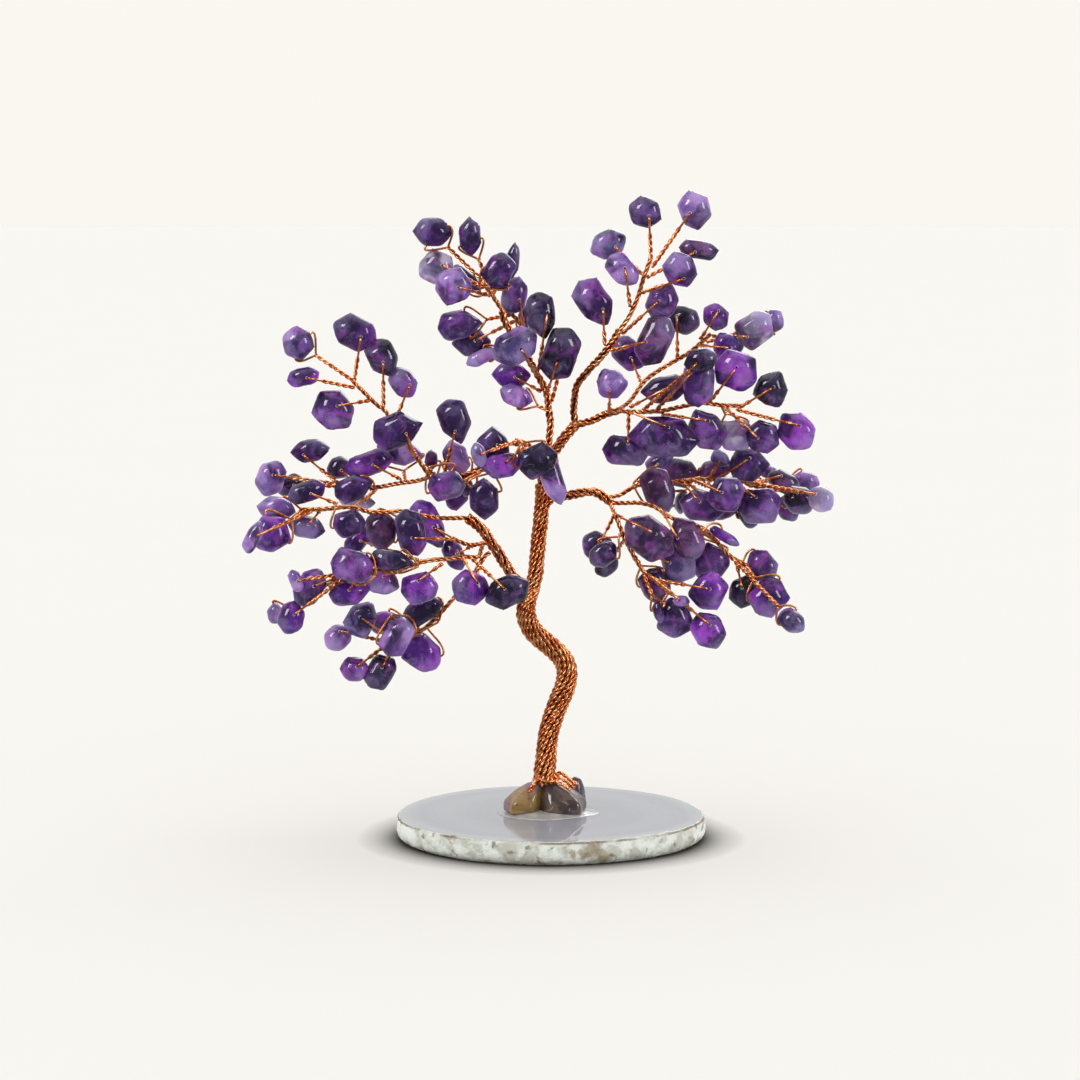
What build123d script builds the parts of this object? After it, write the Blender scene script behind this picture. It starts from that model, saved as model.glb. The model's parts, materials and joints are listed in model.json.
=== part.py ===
from build123d import *
from collections import namedtuple
import math
import os

import numpy as np

# A gemstone tree: amethyst chips on twisted copper wire, standing on tumbled nuggets
# glued to a slice of agate. Millimetres, +Z up, the origin under the middle of the slice.
# Places on the tree are pixels of the photograph with a depth behind the trunk.

# Driving sizes of the slice, the glue and the nuggets
slice_width = 71.5
slice_depth = 69.5
slice_thickness = 5.5
slice_edge = 0.5
glue_width = 24.5
glue_depth = 19.0
glue_thickness = 0.7
nugget_height = 5.6
amber_width = 8.8
amber_depth = 9.4
smoky_width = 10.2
smoky_depth = 9.8
small_width = 5.6
small_depth = 4.6
nugget_meeting = -2.0

# Driving sizes of the tree
crown_height = 138.0
canopy_depth = 40.0
chip_length = 9.0
chip_width = 6.3
chip_thickness = 4.4
hole_width = 1.0
wire_diameter = 0.5
strand_radius = 0.64
core_radius = 0.7
strand_gap = 0.08
lay_length = 21.0
strand_step = 2.2
twig_reach = 1.3
stem_radius = 0.72
tie_radius = 0.3
root_reach = 4.4
root_drop = 0.9

# Clearances
seat_gap = 0.25
chip_clearance = 0.3
wire_clearance = 0.2
loop_clearance = 0.5
pair_gap = 0.2
depth_step = 1.1
fork_slide = 1.6
overrun = 1.0

# The camera of the photograph, and what it measures
view_distance = 700.0
view_tilt = 6.0
PHOTO_MIDDLE_PX = 540
FOOT_PX = (546, 787)
SLICE_MIDDLE_PX = 550.5
CROWN_HEIGHT_PX = 596
CHIP_LENGTH_PX = 39
CHIP_WIDTH_PX = 27

# The bend that a hand gives a limb, each way, and how often a chip is pushed back
swing_range = 6.0
depth_tries = 26

bend_reach = canopy_depth * math.radians(swing_range) * 4
pixel_size = crown_height / CROWN_HEIGHT_PX
focal_length_px = view_distance / pixel_size
stone_seat = slice_thickness + glue_thickness
foot_height = stone_seat + nugget_height + seat_gap + strand_radius / 2
pair_pitch = wire_diameter + pair_gap
pair_radius = pair_pitch / 2 + wire_diameter / 2
wire_corner = wire_diameter / math.sqrt(2)

tilt = math.radians(view_tilt)
forward = np.array((0, math.cos(tilt), -math.sin(tilt)))
upward = np.array((0, math.sin(tilt), math.cos(tilt)))
sideways = np.array((1, 0, 0))
foot_x = (FOOT_PX[0] - SLICE_MIDDLE_PX) * pixel_size
aim_x = foot_x + (PHOTO_MIDDLE_PX - FOOT_PX[0]) * pixel_size
aim_height = foot_height + (FOOT_PX[1] - PHOTO_MIDDLE_PX) * pixel_size
camera = np.array((aim_x, 0, aim_height)) - forward * view_distance


def from_photo(px, py, depth_share):
    """The point seen at a pixel, at a share of the canopy's depth behind the trunk."""
    ray = forward * focal_length_px
    ray = ray + sideways * (px - PHOTO_MIDDLE_PX) - upward * (py - PHOTO_MIDDLE_PX)
    return camera + ray * ((depth_share * canopy_depth - camera[1]) / ray[1])


def unit(vector):
    return vector / np.linalg.norm(vector)


# The trunk's middle line, with a share of the limbs' depth at each pixel
TRUNK_PX = (
    (546, 783.3, 0), (545, 772, 0), (546, 755, 0), (549, 731, 0), (557, 707, 0), (565, 686, 0), (567, 671, 0),
    (562, 658, 0), (550, 646, 0), (536, 634, 0), (528, 622, 0), (526, 611, 0), (527.5, 600, 0), (532, 588, 0),
    (535.5, 574, 0), (537, 556, 0), (539, 537, 0), (541, 517, 0), (542, 500, 0), (542, 484, 0), (543, 472, 0),
    (548.5, 451.5, 0),
)
LOW_FORK_PX = (527.5, 600)
HIGH_FORK_PX = (542, 500)

# Each limb: the pixel of its root on the trunk, the axis it bends about, and its cables
Limb = namedtuple("Limb", "root axis cables")
Cable = namedtuple("Cable", "radius_share route")
LIMBS = {
    "crown_left": Limb((548.5, 449, -0.03), (1, 0, 0), (
        Cable(1.15, ((548.5, 449, -0.05), (550, 425, -0.05), (549, 411, -0.05), (547, 396, -0.05),
                     (540, 379, -0.06), (530, 362, -0.08), (508, 328, -0.1), (502, 310, -0.12))),
    )),
    "crown_right": Limb((553, 453, 0.02), (0, 0, 1), (
        Cable(1.6, ((555, 450.5, 0.02), (565, 437, 0.04), (575, 425, 0.05))),
        Cable(1.15, ((575.5, 422, 0.05), (574, 408, 0.04), (576, 388, 0), (590, 368, -0.04),
                     (597, 362, -0.06), (605, 352, -0.08), (620, 330, -0.12))),
        Cable(1.25, ((579, 423.5, 0.05), (592, 421, 0.03), (605, 414, 0), (620, 411, -0.02))),
    )),
    "low_right": Limb((542, 498, 0), (0, 0, 1), (
        Cable(1.45, ((551.5, 498, 0), (562, 497, 0.02), (580, 493, 0.04), (594, 492, 0.05), (604, 497, 0.05),
                     (611, 503, 0.05))),
    )),
    "left": Limb((545, 464, 0.02), (0, 0, 1), (
        Cable(1.3, ((537, 463, 0.04), (520, 461, 0.06), (500, 466, 0.08), (483, 469, 0.08), (465, 476, 0.06),
                    (445, 479, 0.06), (430, 477, 0.06))),
    )),
    "low_left": Limb((528.5, 596, 0), (0, 0, 1), (
        Cable(1.7, ((519.5, 584.5, 0), (512, 575, 0), (500, 556, -0.02), (490, 541, -0.04), (480, 527, -0.06),
                    (467, 518, -0.06))),
    )),
}

# Each sprig: its limb, its stems, the depth its chips start from, and its chips. A chip has its
# middle, length, width and turn, the pixel where its wire leaves a stem, its drilled hole where
# that shows, and a layer: in front of its neighbours (-1), among them (0) or behind them (1).
Sprig = namedtuple("Sprig", "limb depth_share stems chips")
Chip = namedtuple("Chip", "x y length width turn fork hole layer", defaults=(None, 0))
SPRIGS = {
    "crown_left_tip": Sprig("crown_left", -0.12, (
        ((501, 307, -0.12), (492, 295, -0.12), (480, 278, -0.12)),
    ), (
        Chip(453, 286, 35, 31, 20, (497, 302), None, -1),
        Chip(438, 268, 35, 31, -30, (490, 292), (442, 265)),
        Chip(432, 232, 36, 29, 10, (480, 278)),
        Chip(470, 236, 36, 20, 95, (480, 278)),
        Chip(499, 271, 34, 26, 60, (487, 288), (489, 269)),
        Chip(466, 280, 40, 17, -40, (483, 283), None, 1),
        Chip(513, 261, 34, 12, 80, (492, 295), None, 1),
    )),
    "crown_left_middle": Sprig("crown_left", 0.04, (
        ((533, 367, -0.02), (527, 345, 0.06), (519, 322, 0.08), (506, 310, 0.08)),
    ), (
        Chip(515, 347, 48, 30, 30, (541, 381), (521, 349), -1),
        Chip(514, 295, 34, 23, 85, (518, 320), (520, 300)),
        Chip(460, 324, 41, 28, 5, (506, 310), None, -1),
        Chip(471, 343, 36, 27, 15, (512, 315), None, 1),
        Chip(481, 357, 34, 13, 28, (524, 338), None, 1),
        Chip(525, 317, 22, 12, 80, (520, 325), None, 1),
    )),
    "crown_left_low": Sprig("crown_left", -0.06, (), (
        Chip(541, 316, 45, 27, -80, (541, 381), (549, 311)),
        Chip(511, 375, 36, 24, -10, (544, 388)),
        Chip(516, 396, 34, 19, -20, (548.5, 411)),
        Chip(560, 353, 54, 32, 72, (548, 402), None, -1),
        Chip(566, 348, 34, 22, 70, (549.5, 418), None, 1),
    )),
    "crown_right_tip": Sprig("crown_right", -0.12, (
        ((622, 327, -0.13), (630, 315, -0.14), (638, 297, -0.14), (643, 280, -0.13), (651, 258, -0.12)),
    ), (
        Chip(645, 212, 32, 28, -10, (651, 258), (649, 216)),
        Chip(695, 210, 38, 28, -75, (643, 281), (690, 213)),
        Chip(699, 250, 36, 17, -10, (648, 266)),
        Chip(624, 271, 38, 24, -45, (628, 318), (625, 268), -1),
        Chip(608, 244, 36, 26, 15, (640, 290), (617, 248), 1),
        Chip(680, 270, 34, 29, -70, (639, 294), (685, 281)),
    )),
    "crown_right_middle": Sprig("crown_right", -0.1, (), (
        Chip(655, 340, 50, 29, 70, (600, 359), (646, 342), -1),
        Chip(595, 303, 50, 31, -60, (595, 364), (603, 309)),
        Chip(662, 302, 38, 28, 75, (618, 333), (659, 301)),
    )),
    "far_right_upper": Sprig("crown_right", 0.22, (
        ((618, 410, 0.04), (630, 401, 0.12), (643, 383, 0.18), (655, 373, 0.22), (673, 362, 0.25),
         (690, 352, 0.26), (711, 334, 0.26)),
    ), (
        Chip(716, 317, 28, 23, -40, (711, 334), (719, 310)),
        Chip(755, 330, 38, 30, 30, (709, 336), (747, 337)),
        Chip(728, 347, 29, 28, 0, (698, 346), (731, 348)),
        Chip(683, 320, 32, 27, -30, (678, 359), (676, 315), 1),
        Chip(629, 353, 44, 27, -40, (640, 388), None, 1),
        Chip(774, 321, 22, 17, -75, (704, 340), None, 1),
    )),
    "far_right_middle": Sprig("crown_right", -0.1, (
        ((622, 411, -0.04), (640, 412, -0.08), (662, 411, -0.1)),
    ), (
        Chip(699, 378, 53, 29, 85, (662, 411), (693, 372), -1),
        Chip(665, 389, 46, 25, 15, (632, 411), (671, 386)),
        Chip(664, 437, 66, 36, -3, (640, 412), (669, 427)),
        Chip(626, 451, 47, 27, -8, (624, 411), (628, 444)),
        Chip(612, 383, 29, 28, 0, (606, 414), (609, 393)),
        Chip(707, 430, 44, 31, -70, (661, 411), (709, 421)),
        Chip(700, 361, 32, 22, 15, (655, 411), None, 1),
    )),
    "far_right_tip": Sprig("crown_right", -0.14, (
        ((665, 411, -0.1), (680, 407, -0.12), (702, 403, -0.14), (720, 405, -0.14), (742, 406, -0.14)),
    ), (
        Chip(736, 370, 42, 33, -15, (702, 403), (737, 367), -1),
        Chip(772, 388, 35, 30, 60, (742, 406), (774, 387)),
        Chip(796, 431, 40, 34, -40, (740, 406), (800, 426)),
        Chip(763, 437, 34, 29, -20, (730, 405.5), (758, 438)),
        Chip(736, 435, 33, 28, 0, (708, 403.5), None, 1),
    )),
    "low_right_inner": Sprig("low_right", 0.16, (
        ((606, 497, 0.08), (620, 495, 0.12), (632, 488, 0.15), (645, 484, 0.17), (672, 482, 0.18),
         (698, 479, 0.19)),
    ), (
        Chip(659, 491, 46, 28, -65, (640, 486), None, -1),
        Chip(680, 473, 36, 28, -20, (655, 483), (682, 466)),
        Chip(703, 506, 46, 28, -10, (682, 481), None, -1),
        Chip(726, 494, 36, 30, 70, (698, 479)),
        Chip(661, 461, 32, 18, 35, (632, 488), None, 1),
        Chip(725, 511, 30, 14, 25, (692, 479.5), None, 1),
        Chip(681, 503, 22, 14, 80, (664, 482.5), None, 1),
    )),
    "low_right_outer": Sprig("low_right", 0.22, (
        ((701, 479, 0.2), (720, 480, 0.22), (740, 481, 0.23), (752, 486, 0.24)),
    ), (
        Chip(760, 506, 40, 33, 0, (750, 485), (756, 497)),
        Chip(750, 465, 38, 34, 0, (724, 480), (750, 458)),
        Chip(799, 500, 32, 28, -70, (752, 486), (797, 492)),
        Chip(784, 482, 34, 20, -25, (748, 484), (781, 475)),
        Chip(715, 469, 31, 18, 15, (703, 479)),
        Chip(789, 509, 28, 22, -60, (744, 482.5), None, 1),
        Chip(821, 499, 27, 24, -30, (752, 486), (815, 494), 1),
        Chip(806, 481, 28, 18, -15, (752, 486)),
        Chip(748, 517, 24, 14, -55, (732, 480.5), None, 1),
        Chip(721, 459, 20, 14, -30, (708, 479.5), None, 1),
        Chip(768, 472, 18, 12, 0, (728, 480.5), None, 1),
    )),
    "low_right_middle": Sprig("low_right", -0.02, (
        ((612, 504, 0.03), (625, 503, 0.02), (640, 503, 0), (655, 507, -0.01), (672, 518, -0.02),
         (702, 528, -0.02), (718, 543, -0.02), (730, 556, -0.02), (748, 566, -0.02)),
    ), (
        Chip(687, 539, 46, 28, -60, (663, 512), (677, 538), -1),
        Chip(711, 563, 36, 32, 50, (700, 527.5)),
        Chip(725, 537, 36, 10, -33, (708, 533)),
        Chip(762, 566, 36, 28, -40, (748, 566)),
        Chip(743, 592, 33, 25, 80, (730, 556)),
        Chip(769, 597, 38, 33, 45, (744, 564)),
        Chip(793, 622, 30, 20, -40, (747, 566)),
    )),
    "low_right_lower": Sprig("low_right", -0.16, (
        ((609, 504, -0.01), (615, 514, -0.1), (622, 532, -0.14), (628, 545, -0.16), (636, 560, -0.17)),
    ), (
        Chip(603, 554, 32, 24, 30, (622, 532), None, -1),
        Chip(649, 538, 54, 36, -35, (617, 519), (656, 534), -1),
        Chip(678, 563, 42, 31, -80, (628, 545), (670, 563), -1),
        Chip(655, 587, 38, 26, -70, (634, 556)),
        Chip(598, 547, 34, 28, -20, (613, 511), None, 1),
        Chip(606, 566, 26, 18, 30, (625, 539), None, 1),
    )),
    "low_right_bottom": Sprig("low_right", -0.2, (
        ((638, 563, -0.17), (645, 573, -0.18), (656, 580, -0.19), (668, 582, -0.2)),
    ), (
        Chip(709, 591, 36, 30, 60, (668, 582), (710, 589), -1),
        Chip(676, 619, 36, 33, -20, (664, 581.5)),
        Chip(708, 631, 38, 30, -75, (668, 582), (710, 625)),
        Chip(659, 612, 22, 10, -75, (655, 579.5), None, 1),
        Chip(681, 601, 16, 10, 0, (660, 581), None, 1),
    )),
    "left_upper": Sprig("left", 0.02, (
        ((424, 474, 0.05), (415, 455, 0.05), (400, 435, 0.05), (386, 412, 0.03), (375, 403, 0.02),
         (362, 390, 0.02), (352, 380, 0.02)),
    ), (
        Chip(398, 430, 48, 32, 15, (408, 446), (416, 438), -1),
        Chip(355, 333, 44, 33, -15, (354, 382), (361, 337)),
        Chip(298, 343, 32, 28, 100, (352, 380)),
        Chip(303, 377, 32, 16, 10, (356, 384)),
        Chip(383, 358, 38, 28, -60, (384, 410)),
        Chip(403, 382, 35, 24, -65, (394, 425), (410, 385)),
        Chip(333, 410, 42, 34, -50, (372, 400), (337, 406)),
    )),
    "left_outer": Sprig("left", 0.3, (
        ((427, 477.5, 0.08), (416, 481, 0.14), (395, 484, 0.2), (378, 487, 0.24), (355, 487, 0.28),
         (338, 483, 0.3)),
    ), (
        Chip(369, 463, 48, 22, 20, (402, 483), None, -1),
        Chip(354, 488, 38, 24, 20, (384, 486), (354, 481), -1),
        Chip(310, 451, 37, 22, 15, (340, 483.5), (303, 455)),
        Chip(271, 478, 36, 26, 70, (338, 483), (273, 475)),
        Chip(290, 485, 30, 17, 25, (338, 483), None, 1),
        Chip(400, 452, 46, 24, -10, (410, 482), None, 1),
        Chip(339, 468, 24, 22, 0, (366, 487)),
        Chip(357, 502, 34, 15, -5, (390, 485), (365, 502), 1),
    )),
    "left_inner": Sprig("left", 0.02, (), (
        Chip(446, 485, 38, 29, 15, (452, 478), None, -1),
        Chip(455, 421, 47, 32, -75, (436, 478), (455, 432)),
        Chip(456, 458, 40, 26, -65, (466, 475.5), (465, 455)),
        Chip(431, 460, 22, 14, 90, (444, 479)),
        Chip(457, 499, 26, 18, 40, (459, 477), None, 1),
        Chip(468, 488, 20, 10, 70, (480, 470), None, 1),
        Chip(484, 499, 42, 32, 80, (493, 467), (491, 490), -1),
    )),
    "front": Sprig("trunk", -0.16, (
        ((542, 466, -0.06), (538, 456, -0.1), (528, 444, -0.12), (515, 440, -0.13)),
    ), (
        Chip(552, 478, 58, 20, -72, (541, 463)),
        Chip(537, 460, 38, 28, 30, (536, 453), None, -1),
        Chip(493, 445, 34, 30, 90, (515, 440)),
        Chip(502, 466, 40, 24, 15, (522, 442), None, -1),
        Chip(479, 455, 24, 13, -75, (518, 441), None, 1),
    )),
    "low_left_upper": Sprig("low_left", -0.12, (
        ((464, 518, -0.08), (440, 518, -0.12), (415, 514, -0.14), (400, 511, -0.16),
         (388, 512, -0.17), (369, 512, -0.19)),
        ((486, 546, -0.05), (470, 545, -0.14), (453, 539, -0.17)),
    ), (
        Chip(411, 533, 46, 26, -80, (453, 539), (412, 538), -1),
        Chip(429, 525, 52, 26, -60, (456, 540)),
        Chip(381, 530, 38, 31, 80, (420, 515), None, -1),
        Chip(454, 555, 33, 18, -65, (470, 545)),
    )),
    "low_left_tip": Sprig("low_left", -0.2, (
        ((366, 512, -0.2), (350, 507, -0.22), (325, 509, -0.22), (305, 510, -0.22)),
    ), (
        Chip(349, 523, 31, 24, 20, (345, 507.5), None, -1),
        Chip(273, 534, 36, 35, -20, (305, 510), None, -1),
        Chip(276, 509, 36, 23, 0, (305, 510)),
        Chip(306, 527, 35, 20, -10, (322, 509)),
        Chip(307, 492, 36, 18, 15, (332, 508.5)),
        Chip(254, 537, 36, 14, 65, (309, 510), None, 1),
    )),
    "low_left_middle": Sprig("low_left", -0.3, (
        ((491, 553, -0.1), (478, 557, -0.18), (465, 557, -0.22), (447, 559, -0.26), (433, 560, -0.28),
         (415, 564, -0.3), (395, 572, -0.31)),
        ((487, 552, -0.03), (482, 560, -0.06), (476, 576, -0.08)),
    ), (
        Chip(508, 592, 43, 30, 15, (478, 570), None, -1),
        Chip(470, 588, 36, 30, -15, (476, 576), (479, 583)),
        Chip(419, 588, 34, 26, 20, (436, 560), (418, 579)),
        Chip(392, 560, 41, 20, -8, (420, 562.5), None, -1),
        Chip(381, 582, 36, 23, -8, (404, 568), (384, 575)),
        Chip(358, 540, 38, 18, 50, (410, 566), None, 1),
    )),
    "low_left_outer": Sprig("low_left", -0.34, (
        ((392, 572, -0.31), (378, 570, -0.33), (352, 572, -0.34), (332, 577, -0.34)),
    ), (
        Chip(352, 566, 40, 29, -15, (372, 570.5), None, -1),
        Chip(349, 593, 39, 24, 10, (362, 571), (349, 590)),
        Chip(309, 588, 42, 26, 50, (332, 577)),
        Chip(291, 617, 32, 23, 75, (332, 577)),
        Chip(296, 581, 22, 11, -70, (336, 576), None, 1),
        Chip(275, 613, 21, 15, 90, (332, 577)),
    )),
    "low_left_bottom": Sprig("low_left", 0.06, (
        ((480, 558, 0.04), (470, 578, 0.06), (446, 607, 0.06), (425, 628, 0.06), (408, 637, 0.06),
         (383, 641, 0.06)),
    ), (
        Chip(421, 612, 46, 24, 35, (448, 604), None, -1),
        Chip(421, 652, 46, 32, -40, (430, 623), (417, 647), -1),
        Chip(397, 638, 40, 26, 60, (416, 633)),
        Chip(362, 618, 38, 28, 60, (385, 641), (360, 617)),
        Chip(338, 638, 30, 24, 40, (383, 641), (340, 630)),
        Chip(354, 669, 27, 23, 0, (387, 640.5)),
        Chip(380, 672, 36, 26, 60, (396, 639)),
        Chip(385, 622, 32, 20, 10, (428, 625)),
    )),
}

# The outlines of tumbled chips, as shares of half the length and half the width
OUTLINE_SHARES = (
    ((1, 0.35), (0.5, 1), (-0.7, 0.95), (-1, -0.1), (-0.65, -1), (0.7, -0.9)),
    ((1, 0), (0.3, 0.9), (-0.65, 1), (-1, 0.15), (-0.8, -0.85), (0.25, -1)),
    ((1, 0.25), (0.35, 1), (-0.55, 0.8), (-1, -0.25), (-0.35, -1), (0.6, -0.8)),
    ((1, 0.1), (0.55, 0.92), (-0.45, 1), (-1, 0.05), (-0.5, -1), (0.5, -0.95)),
)
FRONT_FACE_SHARE = 0.58
BACK_FACE_SHARE = 0.64
FACE_SHIFT_SHARE = 0.1
HOLE_REACH_SHARE = 0.3
FARTHEST_HOLE_SHARE = 0.55
STEEPEST_TWIG = 0.3
WIDEST_TIP_FORK = 0.35
SHARPEST_BEND = 120
SHOULDER_SHARES = (0.45, 0.6, 0.75, 0.9, 1, 1.1, 1.2)
STRAND_FLAT_SHARE = 0.9

# Directions that part two convex pieces, spread evenly over a ball
direction_count = 90
GOLDEN_TURN = math.pi * (3 - math.sqrt(5))
heights = 1 - 2 * (np.arange(direction_count) + 0.5) / direction_count
rounds = np.sqrt(1 - heights**2)
spread_turns = GOLDEN_TURN * np.arange(direction_count)
DIRECTIONS = np.column_stack((rounds * np.cos(spread_turns), rounds * np.sin(spread_turns), heights))


class Stretch:
    """A convex stretch of stone or wire: its corners, swollen by a radius."""

    def __init__(self, body, corners, swell, normals=None, route=None):
        self.body = body
        self.route = route
        self.corners = np.array(corners)
        self.swell = swell
        self.axes = DIRECTIONS if normals is None else np.vstack((DIRECTIONS, normals))
        self.middle = self.corners.mean(axis=0)
        self.reach = np.linalg.norm(self.corners - self.middle, axis=1).max() + swell
        self.bent_poses = None

    def poses(self):
        if self.bent_poses is None:
            self.bent_poses = bent(self.body, self.corners)
        return self.bent_poses


def bent(body, corners):
    """The corners with their limb at rest and bent each way."""
    if body not in LIMBS:
        return [corners]
    pivot = from_photo(*LIMBS[body].root)
    axis = np.array(LIMBS[body].axis)
    poses = [corners]
    for turn in (-swing_range, swing_range):
        angle = math.radians(turn)
        arms = corners - pivot
        along = np.outer(arms @ axis, axis)
        across = (arms - along) * math.cos(angle) + np.cross(axis, arms) * math.sin(angle)
        poses.append(pivot + along + across)
    return poses


def room_between(first, second, axes):
    """The widest gap that any of the directions shows between two sets of corners."""
    a = first @ axes.T
    b = second @ axes.T
    return max((a.min(axis=0) - b.max(axis=0)).max(), (b.min(axis=0) - a.max(axis=0)).max())


class Crowd:
    """Everything that is already placed, with the middle and reach of each stretch."""

    def __init__(self):
        self.stretches = []

    def add(self, stretches):
        self.stretches += stretches
        self.middles = np.array([stretch.middle for stretch in self.stretches])
        self.reaches = np.array([stretch.reach for stretch in self.stretches])
        self.bodies = np.array([stretch.body for stretch in self.stretches])

    def near(self, stretch, clearance):
        """The stretches that one could touch, at rest or with the limbs bent."""
        bend_room = np.where(self.bodies == stretch.body, 0, bend_reach)
        apart = np.linalg.norm(self.middles - stretch.middle, axis=1) - self.reaches - stretch.reach
        return [self.stretches[i] for i in np.flatnonzero(apart < clearance + bend_room)]

    def leaves_room(self, stretch, clearance, fork=None):
        """Whether a stretch keeps its clearance, apart from the wire that it forks from."""
        for other in self.near(stretch, clearance):
            if fork is not None and carries(other, fork):
                continue
            need = clearance + stretch.swell + other.swell
            axes = np.vstack((stretch.axes, other.axes[direction_count:]))
            if stretch.body == other.body:
                pairs = [(stretch.corners, other.corners)]
            else:
                pairs = [(pose, other_pose) for pose in stretch.poses() for other_pose in other.poses()]
            if any(room_between(*pair, axes) < need for pair in pairs):
                return False
        return True


def carries(stretch, fork):
    """Whether a stretch of wire is the one that a fork lies on."""
    if stretch.route is not fork.route:
        return False
    a, b = stretch.corners
    share = np.clip((fork.point - a) @ (b - a) / ((b - a) @ (b - a)), 0, 1)
    return np.linalg.norm(a + share * (b - a) - fork.point) < stretch.swell


def closed_sides(rings):
    """The flat sides of a stone from its rings of corners: two ends and the bands between."""
    sides = [rings[0], rings[-1]]
    for lower, upper in zip(rings, rings[1:]):
        for i in range(len(lower)):
            j = (i + 1) % len(lower)
            sides.append([lower[i], lower[j], upper[j], upper[i]])
    return sides


class Stone:
    """A tumbled chip: a six-sided outline, drawn in to a smaller face in front and behind."""

    def __init__(self, middle, long_axis, wide_axis, deep_axis, length, width, thickness, kind):
        self.middle = middle
        self.long_axis = long_axis
        self.wide_axis = wide_axis
        self.deep_axis = deep_axis
        flip = 1 if kind % 8 < len(OUTLINE_SHARES) else -1
        outline = OUTLINE_SHARES[kind % len(OUTLINE_SHARES)]
        shift = FACE_SHIFT_SHARE * (kind % 3 - 1) * length / 2
        self.length = length
        rings = []
        for level, share in ((-1, FRONT_FACE_SHARE), (0, 1), (1, BACK_FACE_SHARE)):
            ring = []
            for u, v in outline:
                along = share * u * length / 2 + level * shift
                across = share * v * flip * width / 2
                deep = level * thickness / 2
                ring.append(middle + along * long_axis + across * wide_axis + deep * deep_axis)
            rings.append(ring)
        self.corners = np.array(rings).reshape(-1, 3)
        self.sides = closed_sides(rings)
        normals = []
        for side in self.sides:
            normal = unit(np.cross(side[1] - side[0], side[2] - side[1]))
            normals.append(normal if normal @ (side[0] - middle) > 0 else -normal)
        self.normals = np.array(normals)
        self.offsets = np.array([n @ side[0] for n, side in zip(self.normals, self.sides)])

    def way_out(self, start, direction):
        """How far it is from a point inside to the stone's surface."""
        speed = self.normals @ direction
        room = self.offsets - self.normals @ start
        return (room[speed > 1e-9] / speed[speed > 1e-9]).min()


Fork = namedtuple("Fork", "miss point way radius at_tip route")


def fork_on(route, radius, target):
    """The point of a route nearest to a target, with the route's way there."""
    best = None
    for a, b in zip(route, route[1:]):
        share = np.clip((target - a) @ (b - a) / ((b - a) @ (b - a)), 0, 1)
        point = a + share * (b - a)
        miss = np.linalg.norm(point - target)
        if best is None or miss < best.miss:
            best = Fork(miss, point, unit(b - a), radius, share == 1 and b is route[-1], route)
    return best


def root_offset(fork, way, radius):
    """How far from a stem's middle a branch starts, so that its end just clears the stem."""
    straight = fork.way @ way
    slant = math.sqrt(max(1 - straight**2, 0))
    if fork.at_tip and straight > WIDEST_TIP_FORK:
        return (seat_gap + radius * slant) / straight
    return (fork.radius + seat_gap + radius * abs(straight)) / max(slant, STEEPEST_TWIG)


def rooted(route, radius, carriers):
    """A route that starts where it just clears the wire that it leaves."""
    fork = min((fork_on(*carrier, route[0]) for carrier in carriers), key=lambda fork: fork.miss)
    way = unit(route[1] - fork.point)
    return [fork.point + way * root_offset(fork, way, radius)] + route[1:]


def sharpest_turn(route):
    """The sharpest bend of a route, in degrees."""
    ways = [unit(b - a) for a, b in zip(route, route[1:])]
    return max(math.degrees(math.acos(np.clip(a @ b, -1, 1))) for a, b in zip(ways, ways[1:]))


CHIP_WIRE_FIELDS = "route root twig_end free_runs beside lead hole_axis hole_start hole_length"
ChipWire = namedtuple("ChipWire", CHIP_WIRE_FIELDS)


def wire_route(stone, hole_point, fork, hole_in_front):
    """A wire from the stem to the chip, round its edge, through its hole and back."""
    lead = fork.point - hole_point
    lead = unit(lead - (lead @ stone.deep_axis) * stone.deep_axis)
    hole_axis = stone.deep_axis if hole_in_front else np.cross(stone.deep_axis, lead)
    arms = stone.corners - hole_point
    edge = (arms @ lead).max()
    twig_end = hole_point + lead * (edge + twig_reach)
    twig = unit(twig_end - fork.point)
    beside = unit(hole_axis - (hole_axis @ twig) * twig)
    root = fork.point + twig * root_offset(fork, twig, pair_radius)
    near = arms[arms @ lead > -wire_diameter]
    axes = np.vstack((DIRECTIONS, stone.normals))
    legs = []
    for side in (1, -1):
        pair_side = side * beside * pair_pitch / 2
        height = stone.way_out(hole_point, side * hole_axis)
        height = side * (max(height, (near @ hole_axis * side).max(initial=0)) + loop_clearance)
        mouth = hole_point + hole_axis * height
        for share in SHOULDER_SHARES:
            shoulder = mouth + lead * edge * share
            leg = [root + pair_side, twig_end + pair_side, shoulder, mouth]
            if room_between(np.array(leg[1:3]), stone.corners, axes) > wire_corner + strand_gap:
                break
        legs.append(leg)
    free_runs = [run for leg in legs for run in zip(leg[1:], leg[2:])]
    hole_start = legs[1][-1] - hole_axis * overrun
    hole_length = np.linalg.norm(legs[0][-1] - legs[1][-1]) + overrun * 2
    route = legs[0] + legs[1][::-1]
    places = (tuple(lead), tuple(hole_axis), tuple(hole_start), hole_length)
    return ChipWire(route, root, twig_end, free_runs, tuple(beside), *places)


# Cables and stems, as routes of points with a radius
cables = {}
stems = {}
placed = Crowd()
trunk_line = [from_photo(*point) for point in TRUNK_PX]
low_fork = from_photo(*LOW_FORK_PX, 0)
high_fork = from_photo(*HIGH_FORK_PX, 0)


def wire_stretches(body, route, radius):
    return [Stretch(body, (a, b), radius, route=route) for a, b in zip(route, route[1:])]


def ring_radius(count):
    """The radius of a ring of strands that lie side by side round the trunk."""
    lean = math.cos(math.atan(2 * math.pi * strand_radius * 2 / lay_length))
    return (strand_radius / lean + strand_gap) / math.sin(math.pi / count)


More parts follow.
